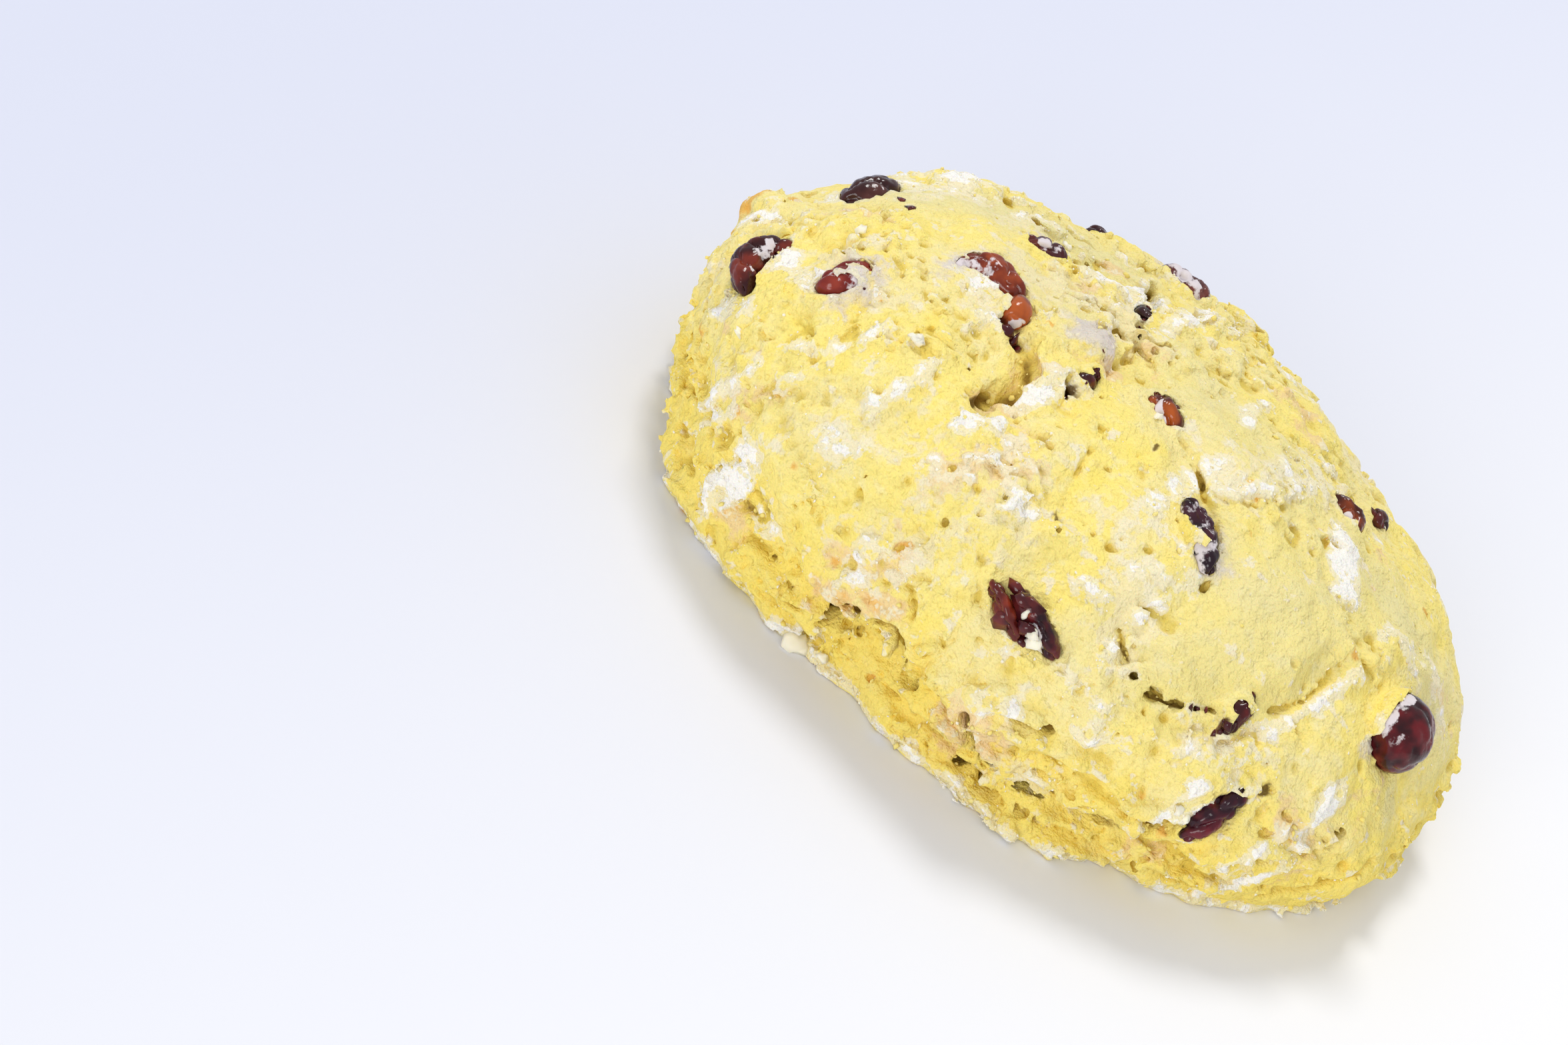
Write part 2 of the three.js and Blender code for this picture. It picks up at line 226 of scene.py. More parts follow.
def blurred(field, radius):
    """A field softened over about radius millimetres."""
    width = max(1, round(radius / CELL))
    for axis in range(3):
        for _ in range(2):
            pad = [(0, 0)] * 3
            pad[axis] = (width + 1, width)
            total = np.cumsum(np.pad(field, pad, mode="edge"), axis=axis, dtype=np.float64)
            ahead = np.take(total, range(2 * width + 1, total.shape[axis]), axis=axis)
            behind = np.take(total, range(0, total.shape[axis] - 2 * width - 1), axis=axis)
            field = ((ahead - behind) / (2 * width + 1)).astype(np.float32)
    return field


def smoothstep(value, start, end):
    part = np.clip((value - start) / (end - start), 0, 1)
    return part * part * (3 - 2 * part)


def soft_union(a, b, width):
    """The union of two distance fields, with a fillet about width across."""
    blend = np.clip(0.5 + 0.5 * (b - a) / width, 0, 1)
    return b * (1 - blend) + a * blend - width * blend * (1 - blend)


def window(low, high):
    """Slices of the grid over a box."""
    start = np.clip(np.floor(np.asarray(low) / CELL).astype(int) - FIRST, 0, SHAPE)
    stop = np.clip(np.ceil(np.asarray(high) / CELL).astype(int) - FIRST + 1, 0, SHAPE)
    return tuple(slice(a, b) for a, b in zip(start, stop))


def cells(part):
    """The places of the cells in a window."""
    return X[part[0]], Y[:, part[1]], Z[:, :, part[2]]


rough = 0.6 * lumps(1.7, 4) + 0.5 * lumps(1.0, 16)  # breaks up the edges of marks
sway = lumps(3.5, 15)  # swells and narrows them along their length


# ---- The plain mound and its places ----

POCKET_REACH = 0.5  # millimetres from a berry within which the CAD dough is its pocket
SCONE_REACH = 60  # millimetres before and behind the aim that hold the whole scone
MERGE = 0.001  # millimetres within which the CAD meshes' corners are one


def largest_patch(bm):
    """The faces of the largest connected patch."""
    left, largest = set(bm.faces), set()
    while left:
        patch, edge = set(), [left.pop()]
        while edge:
            face = edge.pop()
            patch.add(face)
            beside = {other for side in face.edges for other in side.link_faces} & left
            left -= beside
            edge.extend(beside)
        if len(patch) > len(largest):
            largest = patch
    return largest


def boundary_loops(bm):
    """The open edges as rings of points, in the same order each run."""
    left = dict.fromkeys(v for v in bm.verts if v.is_boundary)
    while left:
        rim = [left.popitem()[0]]
        while step := [
            other for edge in rim[-1].link_edges if edge.is_boundary
            for other in (edge.other_vert(rim[-1]),) if other in left
        ]:
            rim.append(step[0])
            del left[step[0]]
        yield rim


def bare_mound(berry_bvh):
    """The CAD dough with its berry pockets closed over."""
    bm = bmesh.new()
    bm.from_mesh(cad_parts[BODY].data)
    bmesh.ops.remove_doubles(bm, verts=bm.verts, dist=MERGE * MM)
    pocket = [
        face for face in bm.faces
        if berry_bvh.find_nearest(face.calc_center_median() / MM, POCKET_REACH)[0] is not None
    ]
    bmesh.ops.delete(bm, geom=pocket, context="FACES")
    kept = largest_patch(bm)
    bmesh.ops.delete(bm, geom=[face for face in bm.faces if face not in kept], context="FACES")
    while pinched := [v for v in bm.verts if sum(edge.is_boundary for edge in v.link_edges) > 2]:
        bmesh.ops.delete(bm, geom=pinched, context="VERTS")
    for rim in list(boundary_loops(bm)):
        middle = bm.verts.new(sum((v.co for v in rim), Vector()) / len(rim))
        for start, end in zip(rim, rim[1:] + rim[:1]):
            bm.faces.new((start, end, middle))
    bmesh.ops.recalc_face_normals(bm, faces=bm.faces)
    mesh = bpy.data.meshes.new("bare_mound")
    bm.to_mesh(mesh)
    bm.free()
    arrays = mesh_arrays(mesh)
    bpy.data.meshes.remove(mesh)
    return arrays


cad_berries = joined([mesh_arrays(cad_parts[name].data) for name in BERRIES])
mound = bare_mound(bvh_of(*cad_berries))
mound_bvh = bvh_of(*mound)
berry_bvh = bvh_of(*cad_berries)


def spot(pixel, solids=(mound_bvh,)):
    """Where a pixel's ray first meets one of some solids, or the mound's nearest place to it."""
    ray = AXES.transposed() @ pixel_ray(pixel)
    met = [place for place in (solid.ray_cast(EYE, ray)[0] for solid in solids) if place is not None]
    if met:
        return min(met, key=lambda place: (place - EYE).length)
    steps = range(-SCONE_REACH, SCONE_REACH)
    passes = (mound_bvh.find_nearest(EYE + ray * (CAMERA_DISTANCE + step)) for step in steps)
    return min(passes, key=lambda found: found[3])[0]


def berry_line(pixels):
    """Where the rays of some pixels first meet a berry or the mound."""
    return np.array([spot(pixel, (berry_bvh, mound_bvh)) for pixel in pixels])


def line_over(pixels, step=1.5):
    """A smooth line over the mound through the places of some pixels, or the place of one."""
    knots = [spot(pixel) for pixel in pixels]
    if len(knots) == 1:
        return np.array(knots)
    knots = [2 * knots[0] - knots[1], *knots, 2 * knots[-1] - knots[-2]]
    line = []
    for before, start, end, after in zip(knots, knots[1:], knots[2:], knots[3:]):
        count = max(2, round((end - start).length / step))
        for i in range(count):
            t = i / count
            point = 0.5 * (
                2 * start + (end - before) * t
                + (2 * before - 5 * start + 4 * end - after) * t**2
                + (3 * start - before - 3 * end + after) * t**3
            )
            line.append(mound_bvh.find_nearest(point)[0])
    line.append(knots[-2])
    return np.array(line)


def settled(rest, line):
    """A line moved onto the surface where the plain mound's field is zero."""
    steps = CELL * np.eye(3)
    slopes = [(at_points(rest, line + step) - at_points(rest, line - step)) / (2 * CELL) for step in steps]
    return line - at_points(rest, line)[:, None] * np.stack(slopes, axis=1)


# ---- The crust's marks ----
# Each mark follows a line of pixels, or sits at one. Widths, depths and rises are in millimetres.

class Cut(NamedTuple):
    """A hollow along a line of pixels.

    lean is how far its floor moves, right and up in the picture, for each millimetre down, ragged is how
    far its edge strays, and settles lays a fine one exactly on the softened mound.
    """
    pixels: list
    width: float
    depth: float
    lean: tuple = (0, 0)
    ragged: float = 0.17
    settles: bool = False


SPLITS = [
    Cut([(1732, 428), (1724, 468), (1710, 490), (1703, 515)], 1.6, 2.8),
    Cut([(1703, 515), (1688, 540), (1655, 562), (1618, 580)], 1, 1.8),
    Cut([(1604, 582), (1622, 572)], 2.2, 2.4),
    Cut([(1700, 515), (1735, 560), (1752, 640)], 0.7, 1, (0.3, 0)),
    Cut([(1770, 660), (1790, 690), (1812, 755), (1826, 830), (1804, 885)], 1, 1.6, (0.3, 0)),
    Cut([(1700, 1012), (1728, 1038), (1764, 1048)], 1.6, 0.7, (0.3, 0.5)),
    Cut([(1678, 951), (1687, 981), (1694, 1006), (1704, 1022)], 0.8, 1.2, (0.3, 0.5), 0.1, True),
    Cut([(1700, 1014), (1712, 1034), (1730, 1048), (1760, 1057)], 1.1, 1.5, (0.3, 0.5), 0.1, True),
    Cut([(1748, 1055), (1788, 1064), (1818, 1068)], 0.8, 1.2, (0.3, 0.5), 0.12, True),
    Cut([(1814, 1068), (1845, 1072), (1880, 1066)], 0.6, 1.2, (0.2, 0.5)),
    Cut([(1885, 1072), (1940, 1060), (1990, 1025), (2020, 985)], 0.6, 0.8, (0, 0.5)),
    Cut([(1634, 676), (1608, 725), (1594, 765), (1586, 800)], 0.4, 0.8, (0.2, 0)),
    Cut([(1526, 512), (1540, 540), (1537, 568), (1512, 592)], 2.6, 1.7),
    Cut([(1472, 612), (1488, 596), (1512, 596)], 2.8, 3.2, (0, 0.3)),
    Cut([(1864, 772), (1895, 768), (1929, 768)], 0.5, 0.7, (0, 0.3)),
    Cut([(1743, 660), (1728, 675), (1706, 684)], 0.5, 0.7),
]
LIPS = [
    Cut([(1228, 912), (1268, 925), (1310, 940), (1345, 968)], 1.8, 2.1, (0.3, 0.9)),
    Cut([(1345, 975), (1372, 1010), (1390, 1040)], 1.4, 2, (0.3, 0.9)),
    Cut([(1445, 1075), (1462, 1110), (1500, 1152), (1560, 1190)], 1.4, 2, (0.2, 0.9)),
    Cut([(1488, 1078), (1530, 1092), (1570, 1108)], 1.5, 1.8, (0.2, 0.9)),
    Cut([(1610, 1205), (1670, 1228), (1735, 1245), (1765, 1240)], 1.3, 2, (0.2, 0.9)),
    Cut([(1850, 1292), (1950, 1288), (2015, 1262)], 1.2, 1.8, (0.2, 0.9)),
    Cut([(1890, 1345), (1980, 1330), (2060, 1290)], 0.9, 1, (0.2, 0.9)),
    Cut([(1300, 1000), (1343, 1050), (1400, 1110), (1470, 1165)], 0.9, 1.2, (0.2, 0.9)),
    Cut([(1180, 880), (1215, 925), (1262, 985)], 0.8, 1, (0.2, 0.6)),
]
PITS = [  # pixel, width and depth
    ((1268, 938), 0.8, 1.2), ((1288, 950), 0.9, 1.3), ((1312, 962), 0.8, 1.2), ((1332, 972), 0.8, 1.2),
    ((1270, 992), 0.8, 1.4), ((1234, 1003), 0.8, 1.2), ((1355, 1075), 0.9, 1.3), ((1447, 1160), 0.9, 1.2),
    ((1560, 1222), 1, 1.2), ((1640, 1255), 0.9, 1.2), ((1590, 1180), 1, 1), ((1700, 1290), 1, 1.1),
    ((1216, 538), 1.2, 1.6), ((1216, 524), 0.8, 1.2), ((1253, 703), 0.9, 1.5), ((1245, 684), 0.7, 0.9),
    ((1291, 619), 0.7, 0.9), ((1241, 569), 0.7, 0.7), ((1344, 483), 0.8, 0.8), ((1350, 508), 1.1, 1.5),
    ((1335, 505), 0.8, 1.1), ((1392, 518), 2.4, 1), ((1122, 489), 1, 0.9), ((1130, 484), 0.7, 0.7),
    ((1425, 584), 0.9, 0.9), ((1318, 588), 0.8, 0.8), ((1297, 435), 0.4, 0.8), ((1398, 617), 0.5, 1),
    ((1452, 588), 0.6, 0.7), ((1526, 630), 1.2, 1.2), ((1560, 650), 1.8, 1.3), ((1580, 668), 1.8, 1.2),
    ((1520, 692), 1.1, 1.4), ((1502, 688), 0.5, 0.8), ((1664, 546), 0.7, 1.2), ((1597, 598), 0.7, 1.4),
    ((1718, 604), 0.5, 0.5), ((1786, 690), 1.3, 1.4), ((1875, 721), 1, 1.1), ((1953, 741), 1, 0.9),
    ((1665, 818), 1, 1.3), ((1337, 768), 0.9, 1.4), ((1415, 787), 1.2, 1.4), ((1453, 796), 0.7, 1),
    ((1165, 826), 1.2, 1.4), ((1176, 822), 0.9, 1), ((1191, 861), 1.3, 1.6), ((1199, 886), 1, 1),
    ((1287, 803), 1, 1.1), ((1310, 799), 1.2, 0.9), ((1388, 866), 0.9, 0.9), ((1203, 755), 0.6, 0.8),
    ((1096, 689), 1.6, 0.9), ((1060, 733), 1.5, 1), ((1138, 664), 0.8, 0.7), ((1095, 757), 0.8, 0.8),
    ((1944, 1000), 1.2, 0.9), ((2013, 1000), 1, 1), ((1997, 1008), 0.8, 0.8), ((1955, 1034), 1, 0.9),
    ((1662, 1138), 2.2, 0.7), ((1738, 1124), 1.3, 0.8), ((1714, 1196), 1.3, 1.1), ((1627, 1105), 0.7, 0.8),
    ((1619, 1023), 0.8, 1), ((1570, 1112), 1.6, 0.9), ((1878, 1240), 1.5, 0.8), ((1898, 1250), 1, 0.8),
    ((2012, 1298), 1.6, 1.1), ((2065, 1186), 0.7, 0.8), ((2022, 1193), 0.8, 0.7), ((2002, 1266), 1.5, 0.6),
    ((2060, 955), 3.4, 1.3), ((1290, 1000), 1.4, 1), ((1345, 1060), 1.2, 0.9), ((1420, 1120), 1.5, 1),
    ((1322, 1012), 1, 1.3), ((1306, 1019), 1.2, 1), ((1384, 1085), 1.3, 0.8), ((1500, 1215), 1.3, 0.8),
    ((1480, 608), 1.2, 1.8), ((1497, 600), 1, 1.4), ((1905, 1187), 1.5, 2.2), ((1889, 1194), 1.6, 2),
    ((1746, 1240), 1.3, 2.2), ((1728, 1247), 1.4, 1.4),
]
RIDGES = [  # width, rise and pixels of rolls of dough and floury edges that stand up
    (1.9, 0.7, (1902, 1099), (1950, 1075), (2000, 1040), (2036, 1015)),
    (2.2, 0.6, (1725, 1232), (1765, 1200), (1798, 1175)),
    (1.6, 0.6, (1300, 618), (1345, 588), (1385, 560), (1410, 532)),
    (0.9, 0.5, (1512, 496), (1522, 560), (1478, 585), (1463, 604)),
    (0.9, 0.5, (1551, 527), (1532, 577), (1524, 608)), (1.6, 0.5, (1614, 562), (1570, 580), (1530, 600)),
    (1.3, 0.7, (1057, 614), (1090, 580), (1140, 550)), (1.3, 0.7, (1040, 668), (1070, 636), (1100, 612)),
    (1.6, 0.4, (1707, 927), (1750, 900), (1791, 868)), (2.6, 0.9, (1120, 306), (1136, 298), (1150, 306)),
    (1.2, 0.9, (1356, 514), (1386, 512)), (2.4, 0.5, (1840, 1290), (1890, 1275), (1960, 1240), (2015, 1195)),
    (2, 0.4, (1830, 1345), (1900, 1310), (1945, 1275)), (1.6, 0.8, (1765, 1218), (1795, 1222)),
]
FLAKES = [  # width, rise and pixels of plates with a crisp, ragged edge
    (2, 0.7, (1500, 505), (1508, 535), (1490, 560), (1462, 585)),
    (2.2, 0.7, (1572, 515), (1560, 540), (1575, 560), (1545, 585)),
    (2.6, 0.5, (1600, 545), (1580, 575), (1560, 610)), (2, 0.6, (1445, 605), (1462, 630), (1500, 632)),
    (3.6, 0.8, (1468, 1052), (1492, 1050), (1510, 1062), (1540, 1082)),
    (4.2, 0.5, (1432, 1060), (1440, 1090), (1470, 1115)), (3.6, 0.6, (1258, 880), (1300, 888), (1345, 905)),
    (3.4, 0.4, (1100, 715), (1075, 735)), (3, 0.5, (1447, 640), (1480, 636)),
    (2.6, 0.5, (1660, 892), (1625, 885)), (2.4, 0.4, (1655, 1000), (1662, 975)),
    (4.6, 0.4, (1860, 690), (1920, 720), (1990, 715)), (3.6, 0.4, (1770, 490), (1820, 485)),
    (2.6, 0.3, (1855, 640), (1880, 605)), (4, 0.35, (2100, 960), (2130, 990), (2150, 1010)),
    (2, 0.4, (1660, 1062), (1640, 1090)),
]


CUT_MARGIN = 3
FLAKE_EDGE = 0.35
RIDGE_EDGE = 1.4


def mark_distance(places, line):
    """The distance of each place to a line, or to its only point."""
    x, y, z = places
    nearest = (x - line[0][0]) ** 2 + (y - line[0][1]) ** 2 + (z - line[0][2]) ** 2
    for start, end in zip(line, line[1:]):
        along = end - start
        reach = (x - start[0]) * along[0] + (y - start[1]) * along[1] + (z - start[2]) * along[2]
        t = np.clip(reach / (along @ along), 0, 1)
        away = [axis - start[i] - t * along[i] for i, axis in enumerate((x, y, z))]
        nearest = np.minimum(nearest, away[0] ** 2 + away[1] ** 2 + away[2] ** 2)
    return np.sqrt(nearest)


def carve(field, rest, cut, rim=0.3):
    """Opens a hollow whose edge stands up by rim."""
    line = line_over(cut.pixels)
    if cut.settles:
        line = settled(rest, line)
    part = window(line.min(0) - cut.width - CUT_MARGIN, line.max(0) + cut.width + CUT_MARGIN)
    down = -rest[part]
    shift = Vector(RIGHT) * cut.lean[0] + Vector(UP) * cut.lean[1]
    places = [axis - shift[i] * np.clip(down, 0, None) for i, axis in enumerate(cells(part))]
    away = np.sqrt(np.clip(mark_distance(places, line) ** 2 - down**2, 0, None))
    away += cut.ragged * min(cut.width, 2) ** 1.6 * (rough[part] + 0.5 * sway[part])
    opening = cut.width / 2 * (1 - np.clip(down / cut.depth, 0, 1)) ** 0.6 - away
    raised = rim * np.exp(-((away - cut.width / 2 - 0.5) / 0.7) ** 2)
    field[part] = np.maximum(field[part] - raised, np.minimum(opening, cut.depth - down))


def raise_along(field, line, width, rise, edge):
    """Raises the crust along a line, by a slope that is edge wide at each side."""
    part = window(line.min(0) - width - 2, line.max(0) + width + 2)
    away = mark_distance(cells(part), line) + 0.5 * rough[part] + 0.2 * width * sway[part]
    field[part] -= rise * smoothstep(width / 2 - away, -edge / 2, edge / 2)


# ---- Crust ----

WALL_TOP = 13
SKIRT_HEIGHT = 1.2
SMOOTH = [  # pixel and radius in millimetres: where the crust stayed whole
    ((1890, 960), 13), ((2090, 920), 11), ((1850, 640), 8), ((1500, 330), 8), ((1640, 930), 5),
    ((1560, 860), 6), ((2022, 850), 4), ((2080, 1240), 10), ((1960, 1335), 7), ((1840, 1380), 6),
    ((1300, 1020), 6), ((2130, 1200), 8), ((2040, 1330), 8), ((2160, 1120), 7),
]


def calm_places():
    """How whole the crust is, from 0 to 1."""
    calm = np.zeros(SHAPE, np.float32)
    for pixel, radius in SMOOTH:
        middle = np.array(spot(pixel))
        part = window(middle - radius, middle + radius)
        away = mark_distance(cells(part), [middle])
        calm[part] = np.maximum(calm[part], smoothstep(away, radius, 0.5 * radius))
    return calm


calm = calm_places()


def roughen(field):
    """The loose texture all over: lumps, crisp flakes, pores, and the layers low on the side.

    Returns where the scabs are: raised flakes, which hold more flour than what is round them.
    """
    fine, grain = lumps(2.0, 2), lumps(1.0, 3)
    low = smoothstep(Z, WALL_TOP + 3, WALL_TOP - 3)
    craggy = np.maximum(smoothstep(lumps(13, 9), -0.7, 0.7), low) * (1 - 0.9 * calm)
    field -= 0.3 * lumps(5, 1) + (0.08 + 0.22 * craggy) * fine + (0.05 + 0.11 * craggy) * grain - 0.4
    flakes = lumps(9, 5) + 0.5 * lumps(3.2, 6) + 0.45 * rough
    field -= (0.15 + 0.3 * craggy) * smoothstep(flakes, 0.10, 0.22)
    patches = lumps(5, 7) + 0.5 * fine + 0.5 * rough
    scabs = smoothstep(patches, 0.40, 0.52)
    field -= (0.1 + 0.45 * craggy) * scabs
    cracks = np.abs(lumps(7, 27) + 0.3 * rough) + 0.4 * np.clip(lumps(5, 28), -0.4, 0.6)
    field += 0.8 * craggy * smoothstep(cracks, 0.06, -0.06)
    pores = lumps(1.5, 10) + 0.45 * craggy
    field += 0.9 * smoothstep(pores, 1.2, 1.7)
    strata = lumps(9, 11, height=1.5) + 0.5 * rough
    field += 1.3 * low * (1 - 0.7 * calm) * (smoothstep(strata, -0.1, 0.4) - 0.5)
    return scabs


def add_skirt(field, rest):
    """The floury rim round the foot, where the dough spread on its tray."""
    foot = rest[:, :, round((SKIRT_HEIGHT + 0.4) / CELL) - FIRST[2]][:, :, None]
    reach = 0.35 * lumps(2.4, 12) + 0.3 * lumps(7, 13) + 0.3 * rough - 0.3
    height = np.clip(SKIRT_HEIGHT + 0.6 * lumps(3, 14) + 0.4 * rough, 0.7, 2.4)
    skirt = np.maximum(foot - reach, Z - height)
    return soft_union(field, skirt, 0.6)


class Look(NamedTuple):
    """A berry's dark and bright skin, how floury it is, how much further the dough climbs round it in
    millimetres, and how wrinkled it is."""
    dark: tuple
    bright: tuple
    dust: float
    brim: float = 0
    folds: float = 1


PLAIN = Look((52, 12, 18), (108, 30, 26), 0.1)
LOOKS = {
    "cranberry_right": Look((44, 8, 16), (104, 20, 28), 0, -0.6, 0.45),
    "cranberry_front_brown": Look((90, 26, 22), (142, 54, 34), 0.1, -0.4),
    "cranberry_front_dark": Look((38, 10, 20), (96, 26, 30), 0, -0.4),
    "cranberry_left": Look((52, 12, 16), (120, 42, 30), 0.05, -0.4),
    "cranberry_left_inner": Look((112, 28, 24), (150, 56, 40), 0.15, -0.5, 0.6),
    "cranberry_slot": Look((44, 12, 26), (112, 28, 40), 0, -0.5),
    "cranberry_amber": Look((104, 38, 20), (176, 84, 34), 0, -0.7, 0.4),
    "cranberry_floury_arc": Look((112, 38, 22), (160, 70, 34), 0.2, -0.5),
    "cranberry_top_left": Look((50, 18, 20), (84, 44, 40), 0.05, -0.6),
    "cranberry_top_sliver": Look((70, 26, 30), (110, 48, 40), 0.3, 0.2),
    "cranberry_veiled": Look((120, 100, 112), (196, 184, 194), 0.6, 0.5),
    "cranberry_split_top": Look((30, 12, 16), (60, 30, 30), 0.1, 0.1),
    "cranberry_right_small": Look((50, 20, 20), (96, 44, 36), 0.3, -0.4),
    "cranberry_crescent": Look((56, 14, 16), (112, 32, 30), 0.05, -0.3),
    "cranberry_split_left": Look((52, 12, 18), (108, 30, 26), 0.1, 0.5),
    "cranberry_top_edge": Look((74, 28, 30), (116, 60, 52), 0.4),
    "cranberry_crown": Look((84, 28, 12), (158, 74, 26), 0.1),
    "cranberry_split_front": Look((34, 14, 26), (70, 32, 44), 0),
    "cranberry_hook": Look((66, 24, 12), (140, 62, 26), 0.15),
}


def berry_skin(name, seed):
    """A fine wrinkled skin on a CAD berry's form, as points and quads."""
    bm = bmesh.new()
    bm.from_mesh(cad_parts[name].data)
    bmesh.ops.remove_doubles(bm, verts=bm.verts, dist=MERGE * MM)
    plain = bpy.data.meshes.new(name + "_plain")
    bm.to_mesh(plain)
    bm.free()
    holder = bpy.data.objects.new(name + "_plain", plain)
    bpy.context.scene.collection.objects.link(holder)
    smooth = holder.modifiers.new("smooth", "SUBSURF")
    smooth.levels = 3 if len(plain.polygons) < 100 else 2
    skin = bpy.data.meshes.new_from_object(holder.evaluated_get(bpy.context.evaluated_depsgraph_get()))
    points = np.array([v.co for v in skin.vertices]) / MM
    normals = np.array([v.normal for v in skin.vertices])
    quads = np.array([list(face.vertices) for face in skin.polygons])
    bpy.data.objects.remove(holder)
    for mesh in (plain, skin):
        bpy.data.meshes.remove(mesh)
    depth = LOOKS.get(name, PLAIN).folds * np.array([wrinkle(Vector(point), seed) for point in points])
    return points - normals * depth[:, None], quads


def wrinkle(place, seed):
    """How deep a berry's skin is folded in at a place."""
    shift = Vector((3.1, 1.7, 0)) * seed
    fold = 1 - abs(noise.noise(place / 2.7 + shift))
    crease = 1 - abs(noise.noise(place / 1.2 - shift))
    return 0.65 * fold**7 + 0.16 * crease**5 - 0.25


def triangles_of(quads):
    return np.concatenate([quads[:, :3], quads[:, [0, 2, 3]]])


FLAPS = [  # width, climb and pixels of dough that laps over a berry
    (4.2, 6, (2015, 1122), (2056, 1066), (2094, 1030)), (2.4, 2.4, (1168, 395), (1150, 420), (1145, 442)),
    (2.4, 2.4, (1450, 430), (1478, 424), (1500, 440), (1506, 458)), (1, 3.2, (1548, 940), (1558, 968)),
    (1, 2.6, (1562, 916), (1580, 926)), (0.8, 1.6, (1503, 905), (1498, 930)),
    (4, 1.6, (1630, 498), (1640, 512)), (0.9, 3.6, (1838, 1045), (1846, 1066), (1842, 1084)),
    (1.2, 2.6, (1868, 1046), (1880, 1062)), (1.4, 2.4, (1796, 800), (1812, 812)),
    (1.8, 2.2, (1772, 1222), (1800, 1200)), (2, 1.2, (1745, 410), (1775, 440)),
    (1.8, 2, (1258, 408), (1285, 404), (1296, 420)),
]


SATELLITE_PIXELS = 9  # how far the small pits lie from the one that they go with


def sculpt():
    """The finished distance field, the plain mound's, where the scabs are, and the berries' skins."""
    rest = blurred(distance_field(*mound), 0.7)
    field = rest.copy()
    scabs = roughen(field)
    for width, rise, *pixels in FLAKES:
        raise_along(field, line_over(pixels), width, rise, FLAKE_EDGE)
    for width, rise, *pixels in RIDGES:
        raise_along(field, line_over(pixels), width, rise, RIDGE_EDGE)
    field = add_skirt(field, rest)
    for cut in SPLITS + LIPS:
        carve(field, rest, cut)
    rng = np.random.default_rng(33)
    for pixel, width, depth in PITS:
        carve(field, rest, Cut([pixel], width, depth, ragged=0.34), rim=0.1)
        for step in rng.normal(0, SATELLITE_PIXELS, (2, 2)):
            satellite = Cut([np.add(pixel, step)], 0.6 * width, 0.7 * depth, ragged=0.4)
            carve(field, rest, satellite, rim=0)
    skins = {name: berry_skin(name, seed) for seed, name in enumerate(BERRIES)}
    fruit = distance_field(*joined([(points, triangles_of(quads)) for points, quads in skins.values()]))
    brim = 0.3 + 0.6 * lumps(2.2, 8) + 0.5 * rough
    for name, look in LOOKS.items():
        points = skins[name][0]
        brim[window(points.min(0) - 1, points.max(0) + 1)] += look.brim
    for width, climb, *pixels in FLAPS:
        line = berry_line(pixels)
        part = window(line.min(0) - width, line.max(0) + width)
        away = mark_distance(cells(part), line) + 0.4 * rough[part]
        brim[part] += climb * smoothstep(away, width / 2 + 0.4, width / 2 - 0.4)
    field = np.where(fruit < 1.2, np.maximum(field, rest - brim - 0.6 * smoothstep(fruit, 0.2, 1.2)), field)
    field = soft_union(field, np.maximum(fruit - 0.45, rest - brim), 0.6)
    field = np.maximum(field, -fruit)
    field = np.maximum(field, -Z)
    return field, rest, scabs, skins


# ---- Colours over the crust ----
# Strokes are a width in millimetres, a strength and a line of pixels.

